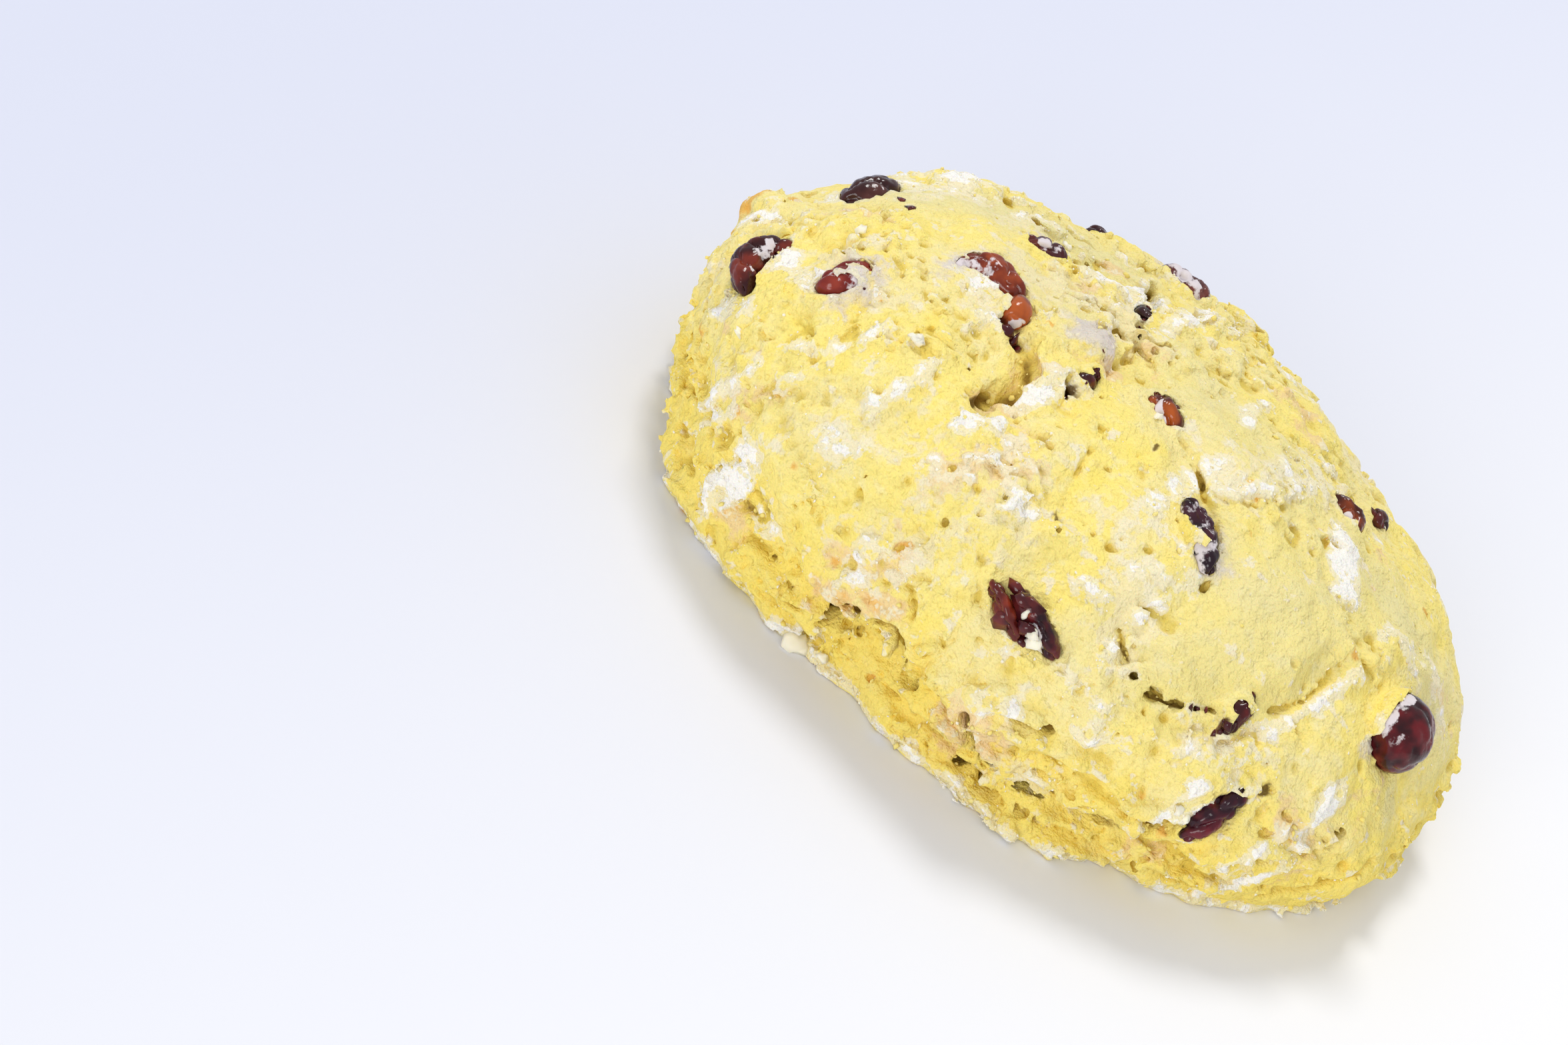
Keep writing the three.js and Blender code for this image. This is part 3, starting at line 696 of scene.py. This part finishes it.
FLOUR = [
    (2.2, 0.9, (1200, 300), (1262, 288)), (2.5, 0.7, (1120, 335), (1190, 325)),
    (3.2, 1.1, (1185, 385), (1215, 415)), (2.6, 1.2, (1078, 462), (1115, 460)),
    (2, 0.6, (1300, 355), (1350, 352)), (4.2, 1.1, (1450, 420), (1505, 425)),
    (3, 0.7, (1480, 470), (1500, 480)), (2.6, 0.8, (1255, 520), (1305, 492)),
    (2.6, 0.6, (1165, 570), (1205, 540), (1185, 510)), (1.6, 1.1, (1372, 512)),
    (2.2, 0.8, (1310, 612), (1365, 580), (1405, 545)), (2.6, 0.9, (1530, 610), (1570, 590), (1600, 575)),
    (2.6, 1.3, (1440, 640), (1490, 635)), (5, 0.7, (1410, 690), (1470, 690), (1530, 670)),
    (1.6, 0.9, (1057, 612), (1095, 578), (1142, 548)), (1.5, 0.8, (1038, 670), (1068, 636), (1102, 610)),
    (1.2, 1.2, (1046, 665)), (4, 1.2, (1065, 740), (1100, 720), (1120, 690)),
    (3.5, 0.7, (1240, 660), (1270, 690)), (5, 0.95, (1640, 415), (1700, 430), (1715, 470)),
    (7, 0.65, (1350, 270), (1450, 280), (1560, 330)), (3, 0.95, (1744, 500), (1800, 480), (1836, 490)),
    (2.4, 0.9, (1852, 655), (1870, 625), (1888, 600)), (2.2, 0.7, (1821, 695), (1858, 665)),
    (5.5, 0.6, (1850, 700), (1920, 720), (2000, 715)), (3.2, 1.1, (1738, 748), (1785, 728)),
    (4, 0.6, (1735, 780), (1770, 810)), (2, 1.5, (1703, 852)),
    (5, 0.65, (1690, 830), (1740, 850), (1780, 880)), (1.8, 0.8, (1707, 927), (1750, 900), (1791, 868)),
    (1.6, 1.1, (1715, 925), (1745, 918)), (3, 0.9, (1625, 885), (1655, 900)),
    (2.2, 1, (1655, 990), (1668, 965)), (4, 0.7, (1800, 1125), (1850, 1115), (1895, 1100)),
    (1.9, 1, (1902, 1099), (1950, 1075), (2000, 1040), (2036, 1015)), (1.8, 1.4, (1908, 1103)),
    (3.6, 2, (2018, 812), (2022, 850), (2028, 882)), (1.6, 1.3, (2072, 812)),
    (2, 1.1, (1725, 1232), (1765, 1200), (1798, 1175)), (1.8, 1.2, (1770, 1225), (1810, 1215)),
    (2.2, 1.4, (2078, 1085), (2100, 1060), (2116, 1045)), (2.2, 0.6, (2050, 1125), (2095, 1105)),
    (2.8, 1.1, (1975, 1225), (2000, 1195), (2015, 1180)), (3.2, 0.8, (1912, 1262), (1965, 1240)),
    (2, 1.1, (1843, 1290), (1895, 1272)), (2, 1.1, (1800, 1344), (1870, 1310), (1945, 1275)),
    (3.5, 0.8, (2080, 950), (2120, 980), (2160, 1010)), (1.5, 1.2, (2110, 990), (2125, 1010)),
    (3, 0.7, (2150, 1060), (2175, 1080)), (3, 1.1, (1300, 835), (1325, 830)),
    (3.5, 0.8, (1270, 865), (1310, 870), (1350, 860)), (2.6, 1, (1520, 755), (1560, 765)),
    (3.2, 0.8, (1130, 780), (1160, 800)), (2.5, 0.8, (1050, 800), (1068, 840)), (3.4, 1.4, (1195, 960)),
    (2.6, 1, (1500, 1145), (1530, 1160)), (2, 0.8, (1550, 1160), (1580, 1175)),
    (2.8, 0.9, (1465, 1050), (1510, 1060)), (2, 0.9, (1660, 1065), (1650, 1090)),
    (4, 0.5, (1440, 1080), (1470, 1110)),
]
TAN = [
    (6.5, 0.8, (1420, 690), (1480, 700), (1530, 690)), (4, 0.9, (1340, 850), (1300, 860)),
    (3.5, 1, (1230, 895), (1300, 900), (1344, 905)), (4.5, 0.9, (1421, 1100), (1460, 1075), (1480, 1110)),
    (4, 0.7, (1110, 610), (1150, 585)), (2.2, 0.9, (1250, 840), (1262, 830)),
    (3.5, 0.8, (1090, 770), (1110, 790)), (2.6, 0.8, (1700, 1270), (1730, 1275)),
    (4, 0.5, (1900, 1330), (1960, 1300)), (6, 0.4, (2000, 1260), (2050, 1200), (2100, 1150)),
    (4, 0.5, (1540, 640), (1500, 660)), (5, 0.5, (2140, 1000), (2180, 1080)),
]
ORANGE = [
    (3.6, 1.3, (1122, 300), (1140, 292)), (1.7, 1, (1086, 338)), (1.8, 1, (1053, 493)), (1.1, 1, (1107, 615)),
    (1.5, 0.8, (1191, 699)), (1, 1, (1575, 320)), (1, 1, (1578, 483)), (2.2, 1, (1352, 828)),
    (1.4, 0.9, (1253, 843)), (1, 1, (1998, 808)), (1.8, 1, (2032, 978)), (0.8, 1, (1873, 1023)),
    (1.1, 1.3, (2144, 917)), (1.4, 1, (1023, 765)), (1.1, 1, (1307, 1019)), (1, 0.8, (1714, 1196)),
    (1.6, 1, (1740, 1250)), (0.8, 0.8, (1320, 445)), (0.9, 1, (1442, 418)), (1.6, 0.8, (1060, 733)),
    (1.7, 0.7, (1096, 689)), (2.6, 0.6, (1310, 905), (1270, 900)), (1.4, 0.9, (1190, 290)),
    (0.9, 0.9, (1876, 721)), (1, 0.6, (2068, 880)),
]
STAIN = [
    (5, 0.9, (1262, 440), (1300, 405)), (5, 1.5, (1640, 510), (1645, 500)),
    (3.2, 0.9, (1748, 380), (1800, 440)), (3.6, 0.7, (1800, 1125), (1860, 1110)),
    (3.6, 0.8, (1800, 770), (1822, 850)), (3.4, 0.8, (1415, 410), (1450, 385)),
    (2.4, 0.7, (1545, 355), (1590, 365)), (2.4, 0.8, (2050, 1130), (2075, 1120)),
]
PALE = [
    (14, 0.45, (1820, 980), (1930, 930), (2030, 870)), (9, 0.6, (2050, 850), (2130, 960), (2150, 1150)),
    (12, 0.45, (1780, 560), (1850, 640), (1930, 720)), (9, 0.7, (1400, 290), (1560, 340), (1680, 390)),
    (7, 0.4, (1600, 450), (1660, 520)),
]
VEIL = [
    (9, 0.85, (1560, 415), (1640, 455), (1700, 500)), (5, 0.8, (1440, 385), (1500, 420)),
    (9, 0.75, (1400, 670), (1470, 720), (1540, 700)), (7, 0.6, (1420, 770), (1500, 800)),
    (8, 0.7, (1690, 790), (1705, 870), (1670, 960)), (7, 0.7, (1290, 840), (1390, 800)),
    (5, 0.6, (1200, 650), (1290, 640)), (7, 0.6, (1450, 1060), (1560, 1180)),
    (8, 0.6, (1280, 300), (1430, 290), (1560, 350)), (7, 0.7, (1440, 400), (1500, 470)),
    (7, 0.7, (1620, 430), (1700, 470), (1690, 520)), (8, 0.7, (1850, 700), (1990, 730)),
    (4, 0.6, (1560, 560), (1610, 600)), (6, 0.6, (1190, 380), (1300, 400), (1330, 440)),
    (6, 0.5, (1790, 1110), (1890, 1140)), (5, 0.6, (2130, 1020), (2170, 1120)),
    (4, 0.6, (1060, 640), (1110, 560)), (6, 0.5, (1820, 1310), (1950, 1240)),
]
JUICE_AND_SHADE = [  # berry juice stains, and painted shade in the gaps beside the berries
    (1.5, 1.2, (1532, 893), (1546, 922), (1562, 958)), (1.2, 0.8, (1508, 492), (1526, 516)),
    (0.8, 0.9, (1838, 1084), (1828, 1096)),
]
CRACK_SHADES = [  # painted shade: dark, fibrous lines at the bottom of cracks
    (0.6, 0.8, (1678, 951), (1687, 981), (1694, 1006), (1708, 1029)),
    (0.7, 0.9, (1704, 1022), (1729, 1047), (1756, 1057), (1788, 1063), (1814, 1068)),
    (0.8, 0.9, (1727, 436), (1722, 468), (1708, 496)), (0.9, 0.9, (1640, 572), (1618, 580), (1602, 586)),
    (0.6, 0.5, (1256, 930), (1290, 949), (1336, 972)), (1.1, 0.8, (1462, 604), (1474, 594)),
    (0.5, 0.8, (1584, 768), (1590, 790)), (0.5, 0.8, (1740, 664), (1734, 672)),
    (0.6, 0.9, (1796, 878), (1806, 884)), (0.9, 1, (1895, 1190), (1908, 1186)),
]


def stroked(places, strokes, height=0, laid=line_over):
    """How strongly some strokes cover each place, which may lie at a height over them."""
    cover = np.zeros(len(places[0]))
    for width, strength, *pixels in strokes:
        away = np.sqrt(np.clip(mark_distance(places, laid(pixels)) ** 2 - height**2, 0, None))
        cover = np.maximum(cover, strength * smoothstep(away, 1.1 * width, 0))
    return cover


def colour_marks(points, field, rest, scabs):
    """What covers the crust at each point, and its painted shade: the values that the dough's material reads.
    """
    places = points.T.astype(np.float32)
    height = np.clip(at_points(rest, points), -3, 3)
    depth = np.clip(-height, 0, None)
    bowl = -at_points(blurred(field, 1.0), points)
    wide_bowl = -at_points(blurred(field, 2.2), points)
    drift = at_points(lumps(9, 21) + 0.6 * lumps(3.5, 22), points)
    seen = smoothstep(-(points - np.array(AIM)) @ np.array(FORWARD), -4, 8)
    low = smoothstep(points[:, 2], WALL_TOP + 2, WALL_TOP - 2)
    bare = np.clip(at_points(calm, points) + low, 0, 1)
    loose = (1 - 0.4 * seen) * (1 - 0.7 * bare)
    flour = np.maximum(stroked(places, FLOUR, height), loose * smoothstep(drift, 0.6, 1.8))
    worn = 0.45 * bare * (flour < 0.5)
    flour += (0.12 + 0.35 * flour) * (at_points(scabs, points) - 0.4) - worn
    foot = smoothstep(points[:, 2], 2.6, 0.8) * (points[:, 2] > 0.2)
    flour = np.maximum(flour, foot * (0.72 + 0.2 * drift)) - 1.2 * smoothstep(bowl, 0.25, 0.6)
    flour += 0.25 * smoothstep(bowl, -0.15, -0.5)
    veil = at_points(lumps(13, 29) + 0.6 * lumps(4, 30), points)
    veil = 0.8 * loose * smoothstep(veil, 0.3, 1.3) - 0.25 * low
    toast = at_points(lumps(11, 23) + 0.6 * lumps(4, 24), points)
    tan = np.maximum(stroked(places, TAN, height), (0.8 - 0.5 * low) * smoothstep(toast, 0.7, 1.6))
    under = smoothstep(points[:, 2], 0.25, 0.1)
    specks = at_points(lumps(2.2, 25) + 0.5 * lumps(9, 26), points)
    orange = np.maximum(stroked(places, ORANGE, height), 0.8 * smoothstep(specks, 1.6, 2.0))
    # painted shade in the hollows, by how concave the crust is
    hollow = np.clip(smoothstep(bowl, 0.08, 0.6) + 0.6 * smoothstep(wide_bowl, 0.25, 1.2), 0, 1)
    # painted shade along the bottom of cracks, fullest where the crust is carved deeper
    crack_shade = stroked(places, CRACK_SHADES, height, lambda pixels: settled(rest, line_over(pixels)))
    return {
        "flour": flour,
        "tan": np.maximum(tan, under),
        "orange": orange,
        "stain": stroked(places, STAIN, height),
        "gold": smoothstep(points[:, 2], 23, 7) * (points[:, 2] > 0.2),
        "pale": stroked(places, PALE, height),
        "veil": np.maximum(stroked(places, VEIL, height), veil),
        # berry juice stains, and painted shade in the gaps beside the berries
        "juice_and_shade": stroked(places, JUICE_AND_SHADE, height),
        "crack_shade": crack_shade * smoothstep(depth, -0.6, 0.4),
        "hollow": hollow,
        # painted shade, darker still, in deep holes
        "dark": hollow * smoothstep(depth, 0.7, 2.4),
    }


# ---- Materials ----

class Material:
    """A node material on a Principled shader, with short calls for the nodes that feed it."""

    def __init__(self, name):
        self.data = bpy.data.materials.new(name)
        self.data.use_nodes = True
        self.nodes = self.data.node_tree.nodes
        self.shader = self.nodes["Principled BSDF"]
        self.place = self.nodes.new("ShaderNodeTexCoord").outputs["Object"]

    def feed(self, socket, value):
        if isinstance(value, bpy.types.NodeSocket):
            self.data.node_tree.links.new(value, socket)
        else:
            socket.default_value = value

    def set(self, **values):
        for name, value in values.items():
            self.feed(self.shader.inputs[name.replace("_", " ")], value)

    def node(self, kind, inputs, **settings):
        """A new node's outputs."""
        node = self.nodes.new("ShaderNode" + kind)
        for name, value in settings.items():
            setattr(node, name, value)
        for name, value in inputs.items():
            self.feed(node.inputs[name], value)
        return node.outputs

    def attribute(self, name):
        return self.node("Attribute", {}, attribute_name=name)["Fac"]

    def noise(self, size, detail=2.0, seed=0.0):
        """Noise from 0 to 1 whose lumps are about size millimetres."""
        inputs = {"Vector": self.place, "Scale": 1 / (size * MM), "Detail": detail, "W": seed}
        return self.node("TexNoise", inputs, noise_dimensions="4D")["Fac"]

    def math(self, operation, first, second):
        return self.node("Math", {0: first, 1: second}, operation=operation)[0]

    def sum(self, *terms):
        """The sum of (value, weight) pairs."""
        total = 0.0
        for value, weight in terms:
            total = self.math("ADD", self.math("MULTIPLY", value, weight), total)
        return total

    def step(self, value, low, high, top=1.0):
        inputs = {"Value": value, "From Min": low, "From Max": high, "To Max": top}
        return self.node("MapRange", inputs, interpolation_type="SMOOTHSTEP")["Result"]

    def mix(self, factor, first, second):
        return self.node("Mix", {"Factor": factor, "A": first, "B": second}, data_type="RGBA")["Result"]

    def bump(self, height, distance):
        """Bump whose height from 0 to 1 stands for distance millimetres."""
        self.set(Normal=self.node("Bump", {"Height": height, "Distance": distance * MM})["Normal"])


def colour(*levels):
    """An sRGB colour, from 0 to 255, as linear values."""
    linear = [v / 255 / 12.92 if v <= 10 else ((v / 255 + 0.055) / 1.055) ** 2.4 for v in levels]
    return (*linear, 1)


CRUMB_RADIUS = (1.0, 0.6, 0.25)  # how far red, green and blue light go in dough
COVERS = [  # colours laid over the dough's tint: attribute, raggedness, start and end of its edge, strength, colour
    ("gold", 0.45, 0.3, 1.1, 0.85, (253, 227, 112)),
    ("veil", 0.8, 0.40, 0.66, 0.7, (245, 232, 188)),
    ("tan", 0.7, 0.35, 0.9, 0.8, (244, 212, 158)),
    ("orange", 0.4, 0.4, 0.8, 0.9, (240, 184, 88)),
    # painted shade in the hollows
    ("hollow", 0.0, 0.05, 0.95, 0.8, (226, 200, 88)),
    # painted shade, darker still, in deep holes
    ("dark", 0.0, 0.12, 0.65, 0.95, (132, 98, 32)),
    ("stain", 0.5, 0.3, 1.0, 0.75, (216, 208, 214)),
    ("flour", 0.9, 0.46, 0.66, 0.75, (248, 238, 204)),
    ("flour", 0.9, 0.98, 1.15, 0.9, (255, 252, 245)),
    # painted shade along the bottom of cracks
    ("crack_shade", 0.35, 0.35, 0.75, 0.9, (108, 80, 26)),
    # berry juice stains, and painted shade beside the berries
    ("juice_and_shade", 0.25, 0.4, 0.7, 0.9, (92, 38, 30)),
]


def dough_material():
    m = Material("dough")
    grit, speck, blotch = m.noise(0.3, 2), m.noise(0.7, 2, seed=1), m.noise(2.4, 3, seed=2)
    ragged = m.sum((blotch, 3.6), (speck, 1.4), (1.0, -2.5))
    tint = m.mix(m.step(m.noise(9, 2, seed=3), 0.42, 0.60), colour(255, 234, 137), colour(250, 233, 158))
    tint = m.mix(m.step(m.noise(3.4, 2, seed=4), 0.46, 0.72, 0.6), tint, colour(255, 230, 110))
    tint = m.mix(m.step(m.noise(1.6, 3, seed=9), 0.50, 0.70, 0.4), tint, colour(249, 239, 190))
    tint = m.mix(m.step(m.noise(0.6, 0, seed=11), 0.66, 0.74, 0.3), tint, colour(218, 196, 98))
    tint = m.mix(m.attribute("pale"), tint, colour(233, 224, 168))
    for name, raggedness, start, end, strength, levels in COVERS:
        cover = m.sum((m.attribute(name), 1.0), (ragged, raggedness))
        tint = m.mix(m.step(cover, start, end, strength), tint, colour(*levels))
    m.set(Base_Color=tint, Roughness=0.9, Specular_IOR_Level=0.2, Subsurface_Weight=0.15,
          Subsurface_Radius=CRUMB_RADIUS, Subsurface_Scale=0.001)
    m.bump(m.sum((speck, 0.6), (grit, 0.3), (m.noise(1.3, 2, seed=10), 0.7)), 0.75)
    return m.data


def berry_material(name, look):
    """Glossy dried skin, dusted with flour where the dust is over 0, up to all over at 1."""
    m = Material(name)
    fold, speck = m.noise(2.6, 2, seed=5), m.noise(0.45, 4, seed=6)
    # the skin's tone varies at random with the folds, and turns bright, then orange, where painted glow is
    # laid
    tone_and_painted_glow = m.sum((m.attribute("tone_and_painted_glow"), 0.5), (fold, 1.0))
    tint = m.mix(m.step(tone_and_painted_glow, 0.42, 0.70), colour(*look.dark), colour(*look.bright))
    tint = m.mix(m.step(tone_and_painted_glow, 0.75, 1.1, 0.8), tint, colour(190, 92, 34))
    patches = m.noise(1.9, 4, seed=7)
    floury = m.sum((patches, 1.0), (speck, 0.35), (look.dust, 0.6), (m.attribute("dust"), 0.5))
    cover = m.step(floury, 0.96, 1.06, 0.9)
    tint = m.mix(cover, tint, colour(232, 224, 228))
    m.set(Base_Color=tint, Roughness=m.sum((cover, 0.7), (1.0, 0.13)), Specular_IOR_Level=0.32)
    m.bump(m.sum((fold, 0.6), (speck, 0.3)), 0.12)
    return m.data


DUST = [  # flour on the berries
    (5, 0.6, (1797, 745), (1795, 800), (1800, 870)), (2.2, 1, (1792, 812), (1806, 822)),
    (1.5, 1.5, (1548, 948), (1553, 966)), (1.3, 0.7, (2085, 1112), (2122, 1104)),
    (1.4, 1.1, (2042, 1138), (2085, 1085), (2118, 1048)), (2.6, 0.55, (1262, 410), (1288, 428)),
    (1.2, 0.6, (1255, 448)), (2, 1, (1140, 375)), (1.3, 1, (1156, 366)), (0.8, 0.9, (1128, 402)),
    (2.2, 0.45, (1450, 394), (1480, 402)), (1.2, 0.9, (1568, 362)), (1.6, 0.5, (1765, 398), (1790, 422)),
    (0.7, 1.2, (1741, 592), (1738, 612), (1745, 634)), (0.8, 1.3, (2022, 775)), (1, 0.9, (1322, 282)),
    (1, 1, (1512, 486), (1536, 489)),
]
PAINTED_GLOW = [  # painted glow: brighter skin where light would shine through thin skin
    (2.4, 0.6, (1515, 460), (1528, 472)), (1.6, 1, (1532, 900), (1538, 920)), (1, 0.8, (1731, 604)),
    (1, 0.8, (1756, 612), (1760, 630)), (2, 0.4, (1118, 400)), (1.6, 0.4, (1495, 388), (1525, 410)),
    (1.6, 0.5, (2134, 1098), (2140, 1120)),
]


# ---- Crumbs ----

GRAINS = 4000
CRUMBS = 1600
CHIPS = [  # pixel and size of single flakes of floury dough
    ((1550, 950), 1.4), ((1554, 964), 1.8), ((1541, 921), 1), ((1373, 507), 1.3), ((1379, 510), 1.1),
    ((1737, 626), 1), ((1195, 965), 2.2), ((1768, 1218), 1.4), ((1778, 1228), 1), ((1290, 345), 1.2),
    ((1600, 372), 1.4), ((1232, 985), 1.4), ((1108, 500), 1.4),
]
BERRY_BITS = [  # pixel and size of loose shreds of berry
    ((1352, 300), 1), ((1366, 312), 1.4), ((1512, 498), 2.2), ((1520, 510), 1.8), ((1526, 524), 1),
    ((1786, 1061), 1), ((1797, 1063), 0.8), ((1808, 1065), 1.1), ((1821, 1101), 0.8), ((1724, 462), 1),
    ((1716, 480), 0.8), ((1709, 492), 0.7), ((1597, 598), 1), ((2060, 770), 1.4), ((2066, 778), 1.6),
    ((2072, 788), 1.4), ((1296, 434), 0.5), ((1648, 566), 0.7), ((1655, 527), 0.7), ((1835, 1086), 1.2),
    ((1629, 575), 0.5), ((1747, 366), 0.8), ((1532, 902), 3.2), ((1538, 922), 3.2), ((1546, 944), 2.8),
    ((1524, 886), 2), ((1842, 1092), 1.6), ((1830, 1098), 1), ((1534, 960), 2.2), ((1506, 930), 2),
]


def speckles(places, normals, sizes, flatness, rng, detail=1):
    """Small irregular pieces, half sunk where they lie, as points and triangles."""
    bm = bmesh.new()
    bmesh.ops.create_icosphere(bm, subdivisions=detail, radius=0.5)
    ball = np.array([v.co for v in bm.verts])
    triangles = np.array([[v.index for v in face.verts] for face in bm.faces])
    bm.free()
    count = len(places)
    shapes = ball[None] * rng.uniform(0.45, 1.4, (count, len(ball), 1)) * sizes[:, None, None]
    turns = np.linalg.qr(rng.standard_normal((count, 3, 3)))[0]
    shapes = shapes * rng.uniform(0.45, 1.5, (count, 1, 3))
    shapes = np.einsum("nij,nvj->nvi", turns, shapes)
    out = np.einsum("nvi,ni->nv", shapes, normals)[..., None] * normals[:, None]
    shapes = shapes - out * (1 - flatness)
    points = (places + normals * sizes[:, None] * 0.15 * flatness)[:, None] + shapes
    faces = triangles[None] + np.arange(count)[:, None, None] * len(ball)
    return points.reshape(-1, 3), faces.reshape(-1, 3)


def laid_on(surface, marks):
    """Where the rays of some marks meet the surface, its slopes there, and the marks' sizes."""
    hits = [surface.ray_cast(EYE, AXES.transposed() @ pixel_ray(pixel)) for pixel, _ in marks]
    met = [(hit[0], hit[1], size) for hit, (_, size) in zip(hits, marks) if hit[0] is not None]
    return tuple(np.array(column) for column in zip(*met))


def add_berry_bits(surface):
    places, normals, sizes = laid_on(surface, BERRY_BITS)
    bits = new_mesh("berry_bits", *speckles(places, normals, sizes, 0.45, np.random.default_rng(32)))
    bits.data.materials.append(berry_material("berry_bit", Look((66, 20, 26), (116, 42, 38), 0.0)))
    return bits


def add_crumbs(points, normals, marks, surface):
    """Grains of flour, crumbs and chips. More of them lie where the crust is floury or hollow."""
    rng = np.random.default_rng(31)
    clear = points[:, 2] > 0.5
    flour = np.clip(marks["flour"], 0, 1)
    floury = clear * (0.02 + flour**2)
    crumbly = clear * (0.15 + flour + marks["tan"] + 2 * marks["hollow"] + marks["gold"])
    kinds = []
    for count, weight, low, high in ((GRAINS, floury, 0.14, 0.40), (CRUMBS, crumbly, 0.3, 0.85)):
        chosen = rng.choice(len(points), count, replace=False, p=weight / weight.sum())
        sizes = low + (high - low) * rng.random(count) ** 2.5
        kinds.append(speckles(points[chosen], normals[chosen], sizes, 0.7, rng))
    kinds.append(speckles(*laid_on(surface, CHIPS), 0.8, rng, detail=2))
    shape, faces = joined(kinds)
    shape[:, 2] = np.clip(shape[:, 2], 0, None)
    crumbs = new_mesh("crumbs", shape, faces)
    whiteness = np.repeat([0.9, 0.3, 1.1], [len(kind[0]) for kind in kinds])
    set_attribute(crumbs.data, "flour", whiteness)
    crumbs.data.materials.append(crumb_material())
    return crumbs


def crumb_material():
    m = Material("crumb")
    pale = m.sum((m.attribute("flour"), 1.0), (m.noise(2.5, 2, seed=8), 1.0))
    tint = m.mix(m.step(pale, 0.75, 1.4), colour(248, 226, 132), colour(254, 247, 224))
    m.set(Base_Color=tint, Roughness=0.9, Specular_IOR_Level=0.25, Subsurface_Weight=0.2,
          Subsurface_Radius=CRUMB_RADIUS, Subsurface_Scale=0.0006)
    return m.data


# ---- Pieces ----

DOUGH_FACES = 195000


def set_attribute(mesh, name, values):
    layer = mesh.attributes.new(name, "FLOAT", "POINT")
    layer.data.foreach_set("value", np.asarray(values, np.float32))


def add_dough(field, rest, scabs):
    """The dough's mesh, with its points, normals and colour marks."""
    dough = new_mesh("dough", *field_surface(field))
    thin = dough.modifiers.new("thin", "DECIMATE")
    thin.ratio = min(1, DOUGH_FACES / (2 * len(dough.data.polygons)))
    mesh = bpy.data.meshes.new_from_object(dough.evaluated_get(bpy.context.evaluated_depsgraph_get()))
    dough.modifiers.clear()
    dough.data = mesh
    mesh.set_sharp_from_angle(angle=math.radians(50))
    points = mesh_arrays(mesh)[0]
    normals = np.array([v.normal for v in mesh.vertices])
    marks = colour_marks(points, field, rest, scabs)
    for name, values in marks.items():
        set_attribute(mesh, name, values)
    mesh.materials.append(dough_material())
    return dough, points, normals, marks


def add_berry(name, points, quads):
    berry = new_mesh(name + "_skin", points, quads)
    places = points.T.astype(np.float32)
    set_attribute(berry.data, "dust", stroked(places, DUST, laid=berry_line))
    # painted glow where light would shine through thin skin
    set_attribute(berry.data, "tone_and_painted_glow", stroked(places, PAINTED_GLOW, laid=berry_line))
    berry.data.materials.append(berry_material(name, LOOKS.get(name, PLAIN)))
    return berry


def declare(piece, node):
    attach(piece, "root")
    if node:
        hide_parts(node)


# ---- Studio ----

FLOOR_SIZE = 3000
FLOOR_FADE = 100  # millimetres over which the floor's painted shade turns it darker and bluer towards the back
FLOOR_NEAR = colour(255, 255, 255)
FLOOR_FAR_SHADE = colour(218, 222, 239)
LIGHT_DISTANCE = 1.5  # metres


def add_floor():
    half = FLOOR_SIZE / 2
    corners = np.array([(-half, -half, 0), (half, -half, 0), (half, half, 0), (-half, half, 0)])
    floor = new_mesh("floor", corners, np.array([[0, 1, 2, 3]]))
    m = Material("floor")
    # painted falloff of light: the floor turns darker and bluer towards the top left of the picture
    away = tuple((UP - 0.35 * RIGHT) / MM / FLOOR_FADE)
    away = m.node("VectorMath", {0: m.place, 1: away}, operation="DOT_PRODUCT")["Value"]
    far = m.step(m.sum((away, 1.0), (m.noise(60, 2), 0.1)), -1.2, 1.2)
    m.set(Base_Color=m.mix(far, FLOOR_NEAR, FLOOR_FAR_SHADE), Roughness=0.8)
    floor.data.materials.append(m.data)


def add_light(name, direction, size, power, tint):
    light = bpy.data.lights.new(name, "AREA")
    light.shape = "DISK"
    light.size = size
    light.energy = power
    light.color = tint
    lamp = bpy.data.objects.new(name, light)
    lamp.rotation_mode = "QUATERNION"
    lamp.rotation_quaternion = direction.to_track_quat("Z", "Y")
    lamp.location = AIM * MM + direction * LIGHT_DISTANCE
    bpy.context.scene.collection.objects.link(lamp)


def add_studio():
    add_floor()
    above = Vector((-0.25, 0.42, 0.87)).normalized()
    front = (-FORWARD - 0.35 * RIGHT - 0.1 * UP).normalized()
    add_light("key", above, size=0.4, power=8.6, tint=(1.0, 0.99, 0.97))
    add_light("front", front, size=0.7, power=7.4, tint=(1.0, 0.99, 0.98))
    world = bpy.data.worlds.new("studio")
    world.use_nodes = True
    sky = world.node_tree.nodes["Background"].inputs
    sky["Color"].default_value = (0.96, 0.97, 1.0, 1)
    sky["Strength"].default_value = 0.66
    bpy.context.scene.world = world
    bpy.context.scene.view_settings.view_transform = "Standard"


# ---- Scene ----

add_camera()
add_studio()
field, rest, scabs, skins = sculpt()
dough, points, normals, marks = add_dough(field, rest, scabs)
skin_meshes = [(skin, triangles_of(quads)) for skin, quads in skins.values()]
surface = bvh_of(*joined([mesh_arrays(dough.data), *skin_meshes]))
declare(dough, BODY)
declare(add_crumbs(points, normals, marks, surface), None)
declare(add_berry_bits(surface), None)
for name, (skin, quads) in skins.items():
    declare(add_berry(name, skin, quads), name)
